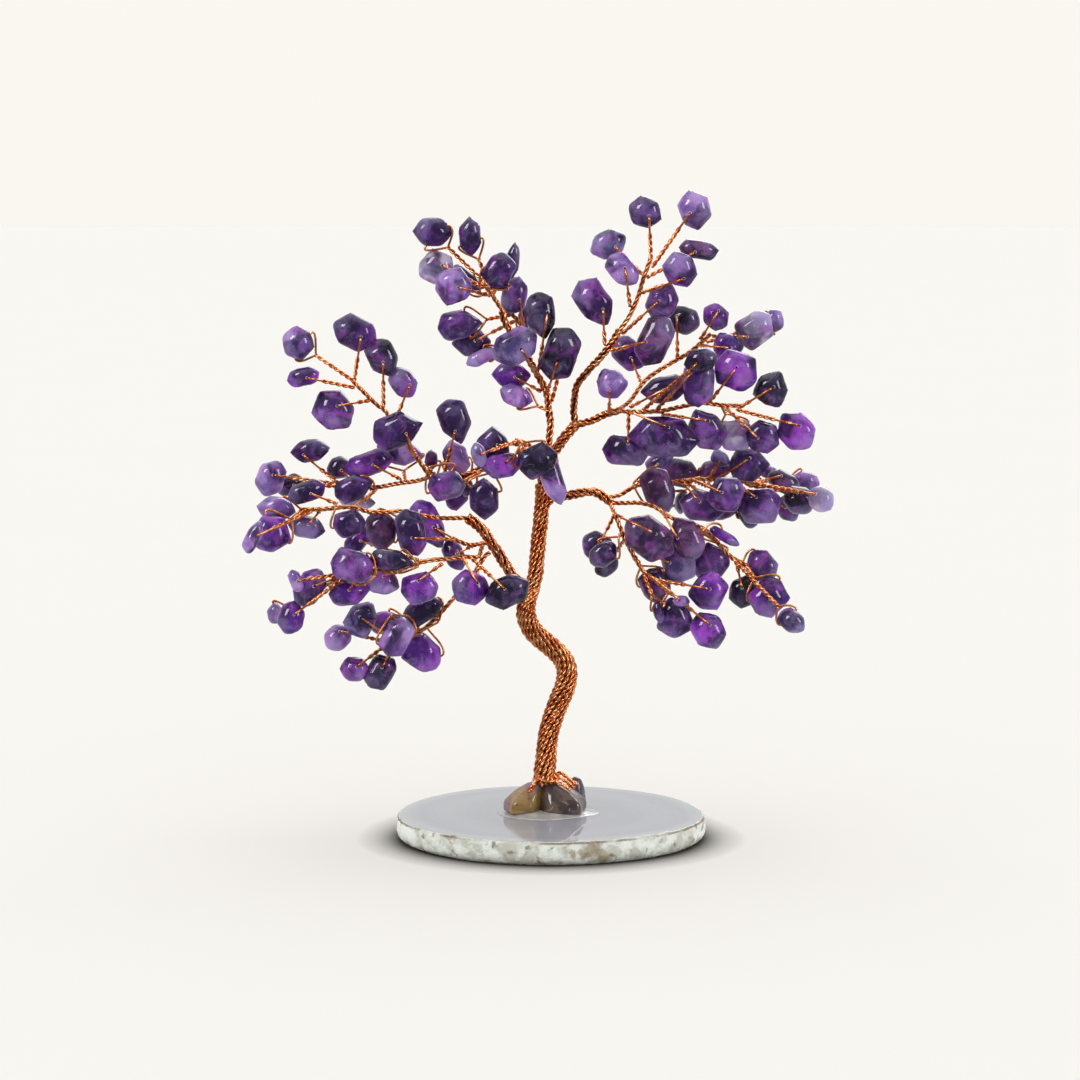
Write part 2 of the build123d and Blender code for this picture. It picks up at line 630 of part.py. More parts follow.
LOW_STRANDS = 7
MIDDLE_STRANDS = 5
TOP_STRANDS = 3
for a, b in zip(trunk_line, trunk_line[1:]):
    if b[2] <= low_fork[2]:
        trunk_radius = ring_radius(LOW_STRANDS) + strand_radius
    elif b[2] <= high_fork[2]:
        trunk_radius = ring_radius(MIDDLE_STRANDS) + strand_radius
    else:
        trunk_radius = ring_radius(TOP_STRANDS) + strand_radius
    placed.add([Stretch("trunk", (a, b), trunk_radius)])
for limb_name, limb in LIMBS.items():
    cables[limb_name] = []
    for cable in limb.cables:
        route = [from_photo(*point) for point in cable.route]
        if cables[limb_name]:
            route = rooted(route, stem_radius * cable.radius_share, cables[limb_name])
        cables[limb_name].append((route, stem_radius * cable.radius_share))
        placed.add(wire_stretches(limb_name, route, stem_radius * cable.radius_share))
stem_carriers = {name: list(limb_cables) for name, limb_cables in cables.items()}
stem_carriers["trunk"] = [(trunk_line, ring_radius(TOP_STRANDS) + strand_radius)]
for sprig_name, sprig in SPRIGS.items():
    stems[sprig_name] = []
    for stem in sprig.stems:
        route = [from_photo(*point) for point in stem]
        route = rooted(route, stem_radius, stem_carriers[sprig.limb])
        stems[sprig_name].append((route, stem_radius))
        stem_carriers[sprig.limb].append((route, stem_radius))
        placed.add(wire_stretches(sprig.limb, route, stem_radius))

# Every chip is slid along the line of sight until it and its wire clear the rest of the tree
SLIDES = (0, 1, -1, 2, -2, 3, -3)
LAYER_STEPS = 2
chips = {}
chip_count = 0


def stone_at(chip, depth_share, kind):
    """A chip turned to the camera, at a share of the canopy's depth."""
    middle = from_photo(chip.x, chip.y, depth_share)
    sight = unit(middle - camera)
    across = unit(np.cross(sight, upward))
    above = np.cross(across, sight)
    turn = math.radians(chip.turn)
    long_axis = math.cos(turn) * across + math.sin(turn) * above
    wide_axis = np.cross(sight, long_axis)
    length = chip_length * chip.length / CHIP_LENGTH_PX
    width = chip_width * chip.width / CHIP_WIDTH_PX
    thickness = chip_thickness * math.sqrt(chip.width / CHIP_WIDTH_PX)
    return Stone(middle, long_axis, wide_axis, sight, length, width, thickness, kind)


def wire_for(chip, stone, fork, depth_share, hole_in_front):
    """The wire that holds a chip."""
    target = from_photo(*chip.hole, depth_share) if chip.hole else fork.point
    toward = target - stone.middle
    toward = toward - (toward @ stone.deep_axis) * stone.deep_axis
    edge = stone.way_out(stone.middle, unit(toward))
    reach = HOLE_REACH_SHARE * edge
    if chip.hole:
        reach = min(np.linalg.norm(toward), FARTHEST_HOLE_SHARE * edge)
    hole_point = stone.middle + unit(toward) * reach
    return wire_route(stone, hole_point, fork, hole_in_front)


def keeps_off(stone, stretch, clearance):
    """Whether a stretch of a chip's own wire stays outside the chip."""
    axes = np.vstack((DIRECTIONS, stone.normals))
    return room_between(stretch.corners, stone.corners, axes) > stretch.swell + clearance


def wire_has_room(stone, fork, wire, twig, loop):
    """Whether a chip's wire is easily bent, starts at its stem and clears the stone and the tree."""
    twig_length = (wire.twig_end - wire.root) @ unit(wire.twig_end - fork.point)
    if twig_length < twig_reach or sharpest_turn(wire.route) > SHARPEST_BEND:
        return False
    if fork_on(fork.route, fork.radius, wire.root).miss > fork.radius + pair_radius + seat_gap * 2:
        return False
    if not keeps_off(stone, twig, wire_clearance):
        return False
    if not all(keeps_off(stone, part, strand_gap) for part in loop):
        return False
    if not placed.leaves_room(twig, wire_clearance, fork):
        return False
    return all(placed.leaves_room(part, wire_clearance) for part in loop)


def settle(chip, sprig, carriers, kind):
    """The first depth and fork at which a chip and its wire clear the tree, or the last that was tried."""
    target = from_photo(*chip.fork, sprig.depth_share)
    nearest = min(carriers, key=lambda carrier: fork_on(*carrier, target).miss)
    first_fork = fork_on(*nearest, target)
    forks = [fork_on(*nearest, first_fork.point + first_fork.way * slide * fork_slide) for slide in SLIDES]
    steps = range(-depth_tries, depth_tries + 1)
    for step in sorted(steps, key=lambda step: abs(step - chip.layer * LAYER_STEPS)):
        depth_share = sprig.depth_share + step * depth_step / canopy_depth
        stone = stone_at(chip, depth_share, kind)
        stretch = Stretch(sprig.limb, stone.corners, 0, stone.normals)
        stone_has_room = placed.leaves_room(stretch, chip_clearance)
        for fork in forks if stone_has_room else forks[:1]:
            for hole_in_front in (chip.hole is not None, chip.hole is None):
                wire = wire_for(chip, stone, fork, depth_share, hole_in_front)
                twig = Stretch(sprig.limb, (wire.root, wire.twig_end), pair_radius)
                loop = [Stretch(sprig.limb, ends, wire_corner) for ends in wire.free_runs]
                if stone_has_room and wire_has_room(stone, fork, wire, twig, loop):
                    return stone, wire, [stretch, twig] + loop
    return stone, wire, [stretch, twig] + loop


for sprig_name, sprig in SPRIGS.items():
    chips[sprig_name] = []
    carriers = stems[sprig_name] + cables.get(sprig.limb, [])
    for chip in sprig.chips:
        stone, wire, stretches = settle(chip, sprig, carriers, chip_count)
        chips[sprig_name].append((stone, wire))
        placed.add(stretches)
        chip_count += 1


def faceted(sides):
    """A solid from its flat sides."""
    faces = [Face(Wire.make_polygon([tuple(corner) for corner in side])) for side in sides]
    return Solid(Shell(faces))


def tube(route, radius, sides, beside=None):
    """A tube of a few flat sides along straight runs, mitred at the bends."""
    points = [Vector(*point) for point in route]
    start = Plane(points[0], x_dir=beside, z_dir=points[1] - points[0])
    with BuildPart() as run:
        with BuildLine() as path:
            Polyline(*points)
        with BuildSketch(start):
            RegularPolygon(radius, sides, major_radius=False, rotation=180 / sides)
        sweep(path=path.line, transition=Transition.RIGHT)
    return run.part.solid()


def bent_wire(route, beside):
    """A chip's wire: four flat sides along each straight run, mitred at the bends."""
    ways = [unit(b - a) for a, b in zip(route, route[1:])]
    across = np.array(beside) * wire_diameter / 2
    upright = np.cross(ways[0], across)
    ring = [route[0] + u * across + v * upright for u, v in ((1, 1), (-1, 1), (-1, -1), (1, -1))]
    rings = [ring]
    for i, way in enumerate(ways):
        mitre = unit(way + ways[i + 1]) if i + 1 < len(ways) else way
        ring = [corner + way * ((route[i + 1] - corner) @ mitre) / (way @ mitre) for corner in ring]
        rings.append(ring)
    return faceted(closed_sides(rings))


def write(name, solids):
    """One node: a solid, or a group of solids that belong together."""
    piece = Compound(label=name, children=solids) if len(solids) > 1 else solids[0]
    piece.label = name
    export_step(piece, f"parts/{name}.step")


os.makedirs("parts", exist_ok=True)

# Waves of an uneven rim: how many go round, their share of the radius, and where they start
RIM_SIDES = 64
SLICE_WAVE_SHARES = ((2, 0.006, 0.4), (3, 0.008, 1.1), (5, 0.005, 2), (9, 0.003, 0.7))
GLUE_WAVE_SHARES = ((2, 0.05, 0.9), (3, 0.06, 2.2), (5, 0.04, 0.3))


def wavy_rim(width, depth, wave_shares):
    """An oval whose rim goes in and out."""
    points = []
    for i in range(RIM_SIDES):
        angle = 2 * math.pi * i / RIM_SIDES
        share = 1 + sum(wave * math.cos(count * angle + start) for count, wave, start in wave_shares)
        points.append((share * width / 2 * math.cos(angle), share * depth / 2 * math.sin(angle)))
    return points


# The agate slice: a sawn oval with an uneven natural rim
with BuildPart() as agate_slice:
    with BuildSketch():
        with BuildLine():
            Polyline(*wavy_rim(slice_width, slice_depth, SLICE_WAVE_SHARES), close=True)
        make_face()
    extrude(amount=slice_thickness)
    chamfer(agate_slice.faces().filter_by(Axis.Z).edges(), length=slice_edge)
agate_slice.part.label = "agate_slice"
export_step(agate_slice.part, "parts/agate_slice.step")

# The pool of clear glue under the nuggets
with BuildPart() as resin_pool:
    with BuildSketch(Plane((foot_x, 0, slice_thickness))):
        with BuildLine():
            Polyline(*wavy_rim(glue_width, glue_depth, GLUE_WAVE_SHARES), close=True)
        make_face()
    extrude(amount=glue_thickness)
resin_pool.part.label = "resin_pool"
export_step(resin_pool.part, "parts/resin_pool.step")

# Three tumbled nuggets, flat below on the glue and flat above where the trunk stands.
# The amber and the smoky one meet under the trunk, so each is upright on that side.
NUGGET_LEVEL_SHARES = ((0, 0.86), (0.34, 1), (0.76, 0.84), (1, 0.58))
Nugget = namedtuple("Nugget", "side_x upright_side y width depth kind")
small_x = nugget_meeting + smoky_width
small_y = (smoky_depth + small_depth) / 2
NUGGETS = {
    "amber_nugget": Nugget(nugget_meeting - seat_gap, 1, -seat_gap, amber_width, amber_depth, 3),
    "smoky_nugget": Nugget(nugget_meeting + seat_gap, -1, -seat_gap, smoky_width, smoky_depth, 0),
    "small_nugget": Nugget(small_x, 1, small_y, small_width, small_depth, 2),
}
for name, nugget in NUGGETS.items():
    rings = []
    for level, share in NUGGET_LEVEL_SHARES:
        middle_x = nugget.side_x - nugget.upright_side * share * nugget.width / 2
        ring = []
        for u, v in OUTLINE_SHARES[nugget.kind]:
            x = middle_x + share * u * nugget.width / 2
            y = nugget.y + share * v * nugget.depth / 2
            ring.append((x, y, stone_seat + level * nugget_height))
        rings.append(ring)
    write(name, [faceted(closed_sides(rings))])

# The trunk: strands laid round a core, fewer above each fork
trunk_points = [Vector(*point) for point in trunk_line]
with BuildLine() as trunk_path:
    Polyline(*trunk_points)
trunk_wire = trunk_path.wire()
trunk_length = trunk_wire.length


def trunk_share(height):
    """How far along the trunk a height lies, as a share of its length."""
    low, high = 0.0, 1.0
    for _ in range(40):
        middle = (low + high) / 2
        if (trunk_wire @ middle).Z < height:
            low = middle
        else:
            high = middle
    return low


def strand_points(number, start_share, end_share):
    """One strand's middle line, wound round the trunk."""
    steps = max(2, round((end_share - start_share) * trunk_length / strand_step))
    points = []
    for step in range(steps + 1):
        share = start_share + (end_share - start_share) * step / steps
        count = strands_at(share)
        middle = trunk_wire @ share
        way = smooth_way(share)
        turn = 2 * math.pi * (number / count + share * trunk_length / lay_length)
        ring = Plane(middle, x_dir=(0, 1, 0), z_dir=way)
        radius = ring_radius(count)
        points.append(ring.from_local_coords((radius * math.cos(turn), radius * math.sin(turn), 0)))
    return points


low_share = trunk_share(low_fork[2])
high_share = trunk_share(high_fork[2])
change_share = lay_length / 4 / trunk_length


def strands_at(share):
    """How many strands share the ring, changing smoothly past each fork."""
    past_low = min(max((share - low_share) / change_share, 0), 1)
    past_high = min(max((share - high_share) / change_share, 0), 1)
    left_low = past_low * (LOW_STRANDS - MIDDLE_STRANDS)
    left_high = past_high * (MIDDLE_STRANDS - TOP_STRANDS)
    return LOW_STRANDS - left_low - left_high


def smooth_way(share):
    """The trunk's direction, averaged over a strand step each way."""
    reach = strand_step / trunk_length
    ahead = trunk_wire @ min(share + reach, 1)
    behind = trunk_wire @ max(share - reach, 0)
    return (ahead - behind).normalized()


strands = []
for number in range(LOW_STRANDS):
    end_share = 1 if number < TOP_STRANDS else high_share if number < MIDDLE_STRANDS else low_share
    strands.append(tube(strand_points(number, 0, end_share), strand_radius * STRAND_FLAT_SHARE, 5))
write("trunk_strands", strands)

core_steps = max(2, round(low_share * trunk_length / strand_step / 2))
core_line = [trunk_wire @ (low_share * step / core_steps) for step in range(core_steps + 1)]
write("trunk_core", [tube(core_line, core_radius, 6)])

# The tie wire: one open turn round the foot
TIE_STEPS = 10
TIE_START = 100
TIE_TURN = 320
foot_radius = ring_radius(LOW_STRANDS) + strand_radius
tie_ring = foot_radius + seat_gap + tie_radius
tie_points = []
for step in range(TIE_STEPS + 1):
    angle = math.radians(TIE_START + TIE_TURN * step / TIE_STEPS)
    reach = tie_ring / math.cos(math.radians(TIE_TURN / TIE_STEPS / 2))
    tie_points.append((foot_x + reach * math.cos(angle), reach * math.sin(angle), foot_height + strand_step))
write("tie_wire", [tube(tie_points, tie_radius, 5)])

# The root strands: wire ends that run out over the nuggets and down their sides
ROOT_TURNS = (12, -20, -48, 205)
roots = []
for turn in ROOT_TURNS:
    outward = np.array((math.cos(math.radians(turn)), math.sin(math.radians(turn)), 0))
    start = np.array((foot_x, 0, foot_height + wire_diameter)) + outward * (foot_radius + seat_gap)
    bend = start + outward * root_reach / 2
    end = bend + outward * root_reach / 2 - np.array((0, 0, root_drop))
    roots.append(tube((start, bend, end), wire_diameter / 2, 4))
write("root_strands", roots)

# The limbs: cables of strands
for name, limb_cables in cables.items():
    write(f"{name}_cable", [tube(route, radius, 6) for route, radius in limb_cables])

# The sprigs: stems and twisted pairs of wire, and the chips that the wires hold
for name, held in chips.items():
    runs = [tube(route, radius, 6) for route, radius in stems[name]]
    for stone, wire in held:
        runs.append(bent_wire(wire.route, wire.beside))
    write(f"{name}_wire", runs)
    stones = []
    for stone, wire in held:
        with BuildPart() as drilled:
            add(faceted(stone.sides))
            with BuildSketch(Plane(wire.hole_start, x_dir=wire.lead, z_dir=wire.hole_axis)):
                RegularPolygon(hole_width / 2, 4, major_radius=False, rotation=45)
            extrude(amount=wire.hole_length, mode=Mode.SUBTRACT)
        stones.append(drilled.part.solid())
    write(f"{name}_chips", stones)
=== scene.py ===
import json
import math

import bmesh
import bpy
import numpy as np
from mathutils import Matrix, Vector, noise

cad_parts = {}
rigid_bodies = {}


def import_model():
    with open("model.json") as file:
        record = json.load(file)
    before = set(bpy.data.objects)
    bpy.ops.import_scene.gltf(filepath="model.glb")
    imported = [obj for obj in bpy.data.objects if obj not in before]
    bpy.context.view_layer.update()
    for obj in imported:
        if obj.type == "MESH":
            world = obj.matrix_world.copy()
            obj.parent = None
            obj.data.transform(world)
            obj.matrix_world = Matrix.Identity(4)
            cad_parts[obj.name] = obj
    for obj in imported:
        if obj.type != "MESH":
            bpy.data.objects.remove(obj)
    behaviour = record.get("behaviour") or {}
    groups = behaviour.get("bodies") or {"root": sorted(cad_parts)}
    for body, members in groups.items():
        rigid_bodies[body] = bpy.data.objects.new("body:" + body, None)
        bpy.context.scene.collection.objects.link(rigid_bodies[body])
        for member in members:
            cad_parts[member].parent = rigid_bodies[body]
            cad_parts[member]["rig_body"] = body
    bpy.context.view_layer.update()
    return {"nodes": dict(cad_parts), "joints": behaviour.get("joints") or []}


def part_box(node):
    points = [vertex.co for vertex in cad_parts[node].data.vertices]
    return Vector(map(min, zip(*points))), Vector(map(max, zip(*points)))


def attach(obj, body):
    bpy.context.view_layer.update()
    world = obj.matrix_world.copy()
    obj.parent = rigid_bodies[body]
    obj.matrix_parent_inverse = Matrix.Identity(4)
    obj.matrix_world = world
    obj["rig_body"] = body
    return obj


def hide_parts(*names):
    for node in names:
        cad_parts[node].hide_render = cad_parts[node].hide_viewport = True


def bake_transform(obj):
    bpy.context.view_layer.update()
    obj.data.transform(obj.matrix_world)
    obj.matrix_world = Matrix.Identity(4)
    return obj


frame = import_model()

# The agate slice is the stand: a flat cut of banded chalcedony, some 72 mm across. Its faces are
# sawn and polished to a mirror, and its rim is the nodule's own pale, pitted skin.
def stone_node(name):
    """The corners of a CAD node."""
    mesh = frame["nodes"][name].data
    corners = np.empty(len(mesh.vertices) * 3)
    mesh.vertices.foreach_get("co", corners)
    return corners.reshape(-1, 3)


def mesh_piece(name, points, faces, finish):
    """A new smooth-shaded piece made of points and faces."""
    mesh = bpy.data.meshes.new(name)
    mesh.from_pydata([tuple(point) for point in points], [], faces)
    mesh.polygons.foreach_set("use_smooth", [True] * len(mesh.polygons))
    mesh.materials.append(finish)
    piece = bpy.data.objects.new(name, mesh)
    bpy.context.scene.collection.objects.link(piece)
    return piece


def note_points(piece, layer, values):
    """Keeps a number at each point of a piece, for its finish to read."""
    piece.data.attributes.new(layer, "FLOAT", "POINT").data.foreach_set("value", values)


def stacked_faces(rings, places):
    """The faces between rings of points that follow one another, closed at both ends."""
    faces = []
    for ring in range(rings - 1):
        low, high = ring * places, (ring + 1) * places
        for place in range(places):
            after = (place + 1) % places
            faces.append((low + place, low + after, high + after, high + place))
    faces.append(tuple(range(places))[::-1])
    faces.append(tuple(range((rings - 1) * places, rings * places)))
    return faces


def stand_for(piece, slot, body, *nodes):
    """The piece is shown in place of its CAD nodes, on their body."""
    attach(piece, body)
    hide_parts(*nodes)


class Shade:
    """A socket of a material's nodes that can be used in sums."""

    def __init__(self, tree, socket=None):
        self.tree = tree
        self.socket = socket

    def node(self, kind, settings=None, inputs=None, out=0):
        """A new node's output: its settings are set first, then its sockets are filled or linked."""
        made = self.tree.nodes.new(kind)
        for key, value in (settings or {}).items():
            setattr(made, key, value)
        for key, value in (inputs or {}).items():
            if isinstance(value, Shade):
                self.tree.links.new(value.socket, made.inputs[key])
            else:
                made.inputs[key].default_value = value
        return Shade(self.tree, made.outputs[out])

    def math(self, operation, first, second):
        """A Math node's value."""
        return self.node("ShaderNodeMath", {"operation": operation}, {0: first, 1: second})

    def __add__(self, other):
        return self.math("ADD", self, other)

    def __mul__(self, other):
        return self.math("MULTIPLY", self, other)

    __radd__ = __add__
    __rmul__ = __mul__

    def place(self):
        """Where a point lies on the piece at rest."""
        return self.node("ShaderNodeTexCoord", out="Object")

    def grain(self, scale, detail=3.0, warp=0.0, place=None):
        """Cloudy noise from 0 to 1."""
        values = {"Vector": place or self.place(), "Scale": scale, "Detail": detail, "Distortion": warp}
        return self.node("ShaderNodeTexNoise", None, values)

    def between(self, value, low, high):
        """A value turned into a share: 0 at low, 1 at high."""
        values = {"Value": value, "From Min": low, "From Max": high}
        return self.node("ShaderNodeMapRange", {"interpolation_type": "SMOOTHSTEP"}, values)

    def mixed(self, share, first, second):
        """Two colours mixed by a share."""
        return self.node("ShaderNodeMix", {"data_type": "RGBA"}, {0: share, 6: first, 7: second}, out=2)

    def bump(self, height, distance, strength):
        """A normal that follows a height."""
        values = {"Height": height, "Distance": distance, "Strength": strength}
        return self.node("ShaderNodeBump", None, values)

    def feed(self, **sockets):
        """Fills or links the shader's own sockets."""
        shader = self.tree.nodes["Principled BSDF"]
        for key, value in sockets.items():
            socket = shader.inputs[key.replace("_", " ")]
            if isinstance(value, Shade):
                self.tree.links.new(value.socket, socket)
            else:
                socket.default_value = value


def finish_named(name):
    """A new material and its nodes."""
    material = bpy.data.materials.new(name)
    material.use_nodes = True
    return material, Shade(material.node_tree)


mm = 0.001
pit_depth = 0.6 * mm
agate_finish, agate = finish_named("polished_agate")
inward = agate.node("ShaderNodeAttribute", {"attribute_name": "inward"}, out="Fac")
skin = agate.node("ShaderNodeAttribute", {"attribute_name": "skin"}, out="Fac")
drift = agate.grain(38, 2.0)
band_place = inward + drift * 0.30
fine_bands = agate.node("ShaderNodeMath", {"operation": "SINE"}, {0: band_place * 95})
wide_bands = agate.node("ShaderNodeMath", {"operation": "SINE"}, {0: band_place * 17})
banding = agate.between(wide_bands * 0.7 + fine_bands * 0.3, -1.0, 1.0)
polished = agate.mixed(banding, (0.452, 0.466, 0.500, 1), (0.478, 0.490, 0.522, 1))
milky = agate.between(agate.grain(24, 2.0), 0.5, 0.75) * 0.5
polished = agate.mixed(milky, polished, (0.49, 0.47, 0.53, 1))
pale_edge = agate.between(inward + drift * 0.1, 0.22, 0.05)
polished = agate.mixed(pale_edge, polished, (0.56, 0.58, 0.58, 1))
crust_clouds = agate.grain(230, 6.0, 0.3)
crust = agate.mixed(agate.between(crust_clouds, 0.36, 0.54), (0.60, 0.61, 0.52, 1), (0.86, 0.90, 0.84, 1))
stains = agate.between(agate.grain(170, 6.0, 0.7), 0.55, 0.66) * 0.8
crust = agate.mixed(stains, crust, (0.36, 0.28, 0.17, 1))
specks = agate.between(agate.grain(430, 4.0), 0.60, 0.70) * 0.8
crust = agate.mixed(specks, crust, (0.22, 0.17, 0.11, 1))
edge_line = agate.between(skin, 0.55, 0.8) * agate.between(agate.grain(70, 4.0), 0.44, 0.58)
edge_line = edge_line * agate.between(skin, 1.0, 0.95)
agate_colour = agate.mixed(agate.between(skin, 0.08, 0.55), polished, crust)
agate_colour = agate.mixed(edge_line * 0.8, agate_colour, (0.20, 0.12, 0.07, 1))
pits = agate.between(crust_clouds, 0.35, 0.6) * skin
agate.feed(
    Base_Color=agate_colour,
    Roughness=0.06 + agate.between(skin, 0.1, 0.6) * 0.55,
    Normal=agate.bump(pits, pit_depth, 0.6),
    IOR=1.54,
)

slice_corners = stone_node("agate_slice")
slice_low, slice_high = (Vector(corner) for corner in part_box("agate_slice"))
slice_middle = np.array(((slice_low.x + slice_high.x) / 2, (slice_low.y + slice_high.y) / 2))
slice_reach = slice_corners[:, :2] - slice_middle
slice_angles = np.arctan2(slice_reach[:, 1], slice_reach[:, 0])
slice_radii = np.linalg.norm(slice_reach, axis=1)
rim_places = 300
rim_window = 0.06
rim_rounds = 6
skin_depth = 0.55 * mm
rim_angles = np.linspace(-math.pi, math.pi, rim_places, endpoint=False)


def rim_radius(angle):
    """How far the slice reaches at an angle."""
    apart = np.abs((slice_angles - angle + math.pi) % (2 * math.pi) - math.pi)
    return slice_radii[apart < rim_window].max()


outline = np.array([rim_radius(angle) for angle in rim_angles])
for smoothing in range(rim_rounds):
    outline = (np.roll(outline, 1) + outline * 2 + np.roll(outline, -1)) / 4
thickness = slice_high.z - slice_low.z
rim_shares = (
    (0.945, 0.0, 1), (0.965, 0.05, 1), (0.990, 0.2, 1), (1.002, 0.38, 1), (1.0, 0.56, 1), (0.998, 0.74, 1),
    (0.997, 0.88, 1), (0.993, 0.965, 0.85), (0.985, 0.992, 0.5), (0.975, 1.0, 0.12), (0.96, 1.0, 0),
    (0.93, 1.0, 0), (0.86, 1.0, 0), (0.74, 1.0, 0), (0.58, 1.0, 0), (0.38, 1.0, 0), (0.18, 1.0, 0),
)
slice_points, slice_inward, slice_skin = [], [], []
for share, height, crustiness in rim_shares:
    ruggedness = skin_depth if crustiness > 0.4 else 0
    for angle, reach in zip(rim_angles, outline):
        spot = Vector((math.cos(angle) * 9, math.sin(angle) * 9, height * 2.2))
        rough = noise.fractal(spot * 2.4, 0.8, 2.1, 4) * ruggedness
        away = reach * share - abs(rough) * 1.3
        x = slice_middle[0] + away * math.cos(angle)
        y = slice_middle[1] + away * math.sin(angle)
        slice_points.append((x, y, height * thickness + slice_low.z))
        slice_inward.append(1 - share)
        slice_skin.append(crustiness)
slice_faces = stacked_faces(len(rim_shares), rim_places)
slab = mesh_piece("agate_slab", slice_points, slice_faces, agate_finish)
note_points(slab, "inward", slice_inward)
note_points(slab, "skin", slice_skin)
stand_for(slab, "agate", "stand_and_trunk", "agate_slice")

# The glue is a clear resin poured round the nuggets. It set in an uneven puddle that is
# a little cloudy, with a rounded wet-looking edge.
ripple_depth = 0.4 * mm
resin_finish, resin = finish_named("clear_resin")
cloudy = resin.grain(300, 4.0, 0.8)
resin.feed(
    Base_Color=resin.mixed(resin.between(cloudy, 0.35, 0.7), (0.52, 0.51, 0.50, 1), (0.68, 0.665, 0.64, 1)),
    Roughness=0.12 + cloudy * 0.16,
    Normal=resin.bump(cloudy, ripple_depth, 0.3),
    Transmission_Weight=0.1,
    IOR=1.47,
)
pool_low, pool_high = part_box("resin_pool")
pool_middle = (pool_low + pool_high) / 2
pool_half = (pool_high - pool_low) / 2
pool_places = 120
pool_shares = (
    (1.0, 0.0), (0.985, 0.14), (0.94, 0.26), (0.86, 0.40),
    (0.78, 0.62), (0.7, 0.95), (0.62, 1.25), (0.2, 1.3),
)
pool_points = []
for share, height in pool_shares:
    for place in range(pool_places):
        angle = 2 * math.pi * place / pool_places
        lobe = 0.93 + 0.05 * math.sin(3 * angle + 1.1) - 0.02 * math.sin(5 * angle)
        pool_points.append((
            pool_middle.x + pool_half.x * share * lobe * math.cos(angle),
            pool_middle.y + pool_half.y * share * lobe * math.sin(angle),
            pool_low.z + (pool_high.z - pool_low.z) * height,
        ))
pool_faces = stacked_faces(len(pool_shares), pool_places)
puddle = mesh_piece("glue_puddle", pool_points, pool_faces, resin_finish)
stand_for(puddle, "clear_resin", "stand_and_trunk", "resin_pool")

# Three tumbled nuggets stand in the glue and carry the foot of the trunk: an amber one at the left,
# a smoky purple one at the right and a small one behind. All are rounded by tumbling and polished.
weld_reach = 0.001 * mm
flat_angle = 0.01
tumble_rounds = 10
stay_share = 0.4
stretch_limit = 1.5
corner_limit = 1.1
corner_share = 0.45


def loose_solids(node):
    """The solids of a CAD node, each as corners, neighbours and flat faces."""
    work = bmesh.new()
    work.from_mesh(frame["nodes"][node].data)
    bmesh.ops.remove_doubles(work, verts=work.verts, dist=weld_reach)
    bmesh.ops.dissolve_limit(work, angle_limit=flat_angle, verts=work.verts, edges=work.edges)
    work.verts.index_update()
    work.verts.ensure_lookup_table()
    left = set(range(len(work.verts)))
    found = []
    while left:
        first = min(left)
        group, todo = {first}, [first]
        while todo:
            for edge in work.verts[todo.pop()].link_edges:
                for vert in edge.verts:
                    if vert.index not in group:
                        group.add(vert.index)
                        todo.append(vert.index)
        left -= group
        order = sorted(group)
        place = {index: i for i, index in enumerate(order)}
        corners = np.array([work.verts[index].co for index in order])
        own_faces = [face for face in work.faces if face.verts[0].index in group]
        faces = [[place[vert.index] for vert in face.verts] for face in own_faces]
        around = [set() for index in order]
        for index in order:
            around[place[index]] = {place[edge.other_vert(work.verts[index]).index]
                                    for edge in work.verts[index].link_edges}
        found.append((corners, around, faces))
    work.free()
    return found


def reworked(work, kind, **settings):
    """The mesh that one modifier makes of a work mesh."""
    mesh = bpy.data.meshes.new("work")
    work.to_mesh(mesh)
    work.free()
    holder = bpy.data.objects.new("work", mesh)
    bpy.context.scene.collection.objects.link(holder)
    modifier = holder.modifiers.new("rework", kind)
    for key, value in settings.items():
        setattr(modifier, key, value)
    bpy.context.view_layer.update()
    made = bpy.data.meshes.new_from_object(holder.evaluated_get(bpy.context.evaluated_depsgraph_get()))
    bpy.data.objects.remove(holder)
    return made


def read_off(what, key, width, kind=float):
    """One property of all of a mesh's points or edges."""
    values = np.empty(len(what) * width, kind)
    what.foreach_get(key, values)
    return values.reshape(-1, width)


def tumbled(corners, voxel, lumps, lump_size, swell):
    """A stone rounded from the flat-sided block that holds these corners."""
    work = bmesh.new()
    hull = bmesh.ops.convex_hull(work, input=[work.verts.new(corner) for corner in corners])
    spare = {item for item in hull["geom_interior"] if isinstance(item, bmesh.types.BMVert)}
    bmesh.ops.delete(work, geom=list(spare))
    even = reworked(work, "REMESH", mode="VOXEL", voxel_size=voxel)
    points = read_off(even.vertices, "co", 3)
    edges = read_off(even.edges, "vertices", 2, int)
    count = np.bincount(edges.ravel(), minlength=len(points))[:, None]
    for smoothing in range(tumble_rounds):
        total = np.zeros_like(points)
        np.add.at(total, edges[:, 0], points[edges[:, 1]])
        np.add.at(total, edges[:, 1], points[edges[:, 0]])
        points = points * stay_share + total / count * (1 - stay_share)
    middle = (points.max(0) + points.min(0)) / 2
    goal = (corners.max(0) + corners.min(0)) / 2
    growth = np.minimum(np.ptp(corners, axis=0) / np.ptp(points, axis=0), stretch_limit)
    arms = (points - middle) * growth * swell
    half = np.ptp(arms, axis=0) / 2
    stretch = np.linalg.norm(arms / half, axis=1)
    held = np.minimum(stretch, corner_limit + (stretch - corner_limit) * corner_share)
    arms *= (held / stretch)[:, None]
    for i, arm in enumerate(arms):
        spot = Vector(goal + arm) / lump_size
        arms[i] = arm * (1 + lumps * noise.noise(spot))
    even.vertices.foreach_set("co", (goal + arms).ravel())
    even.polygons.foreach_set("use_smooth", [True] * len(even.polygons))
    return even


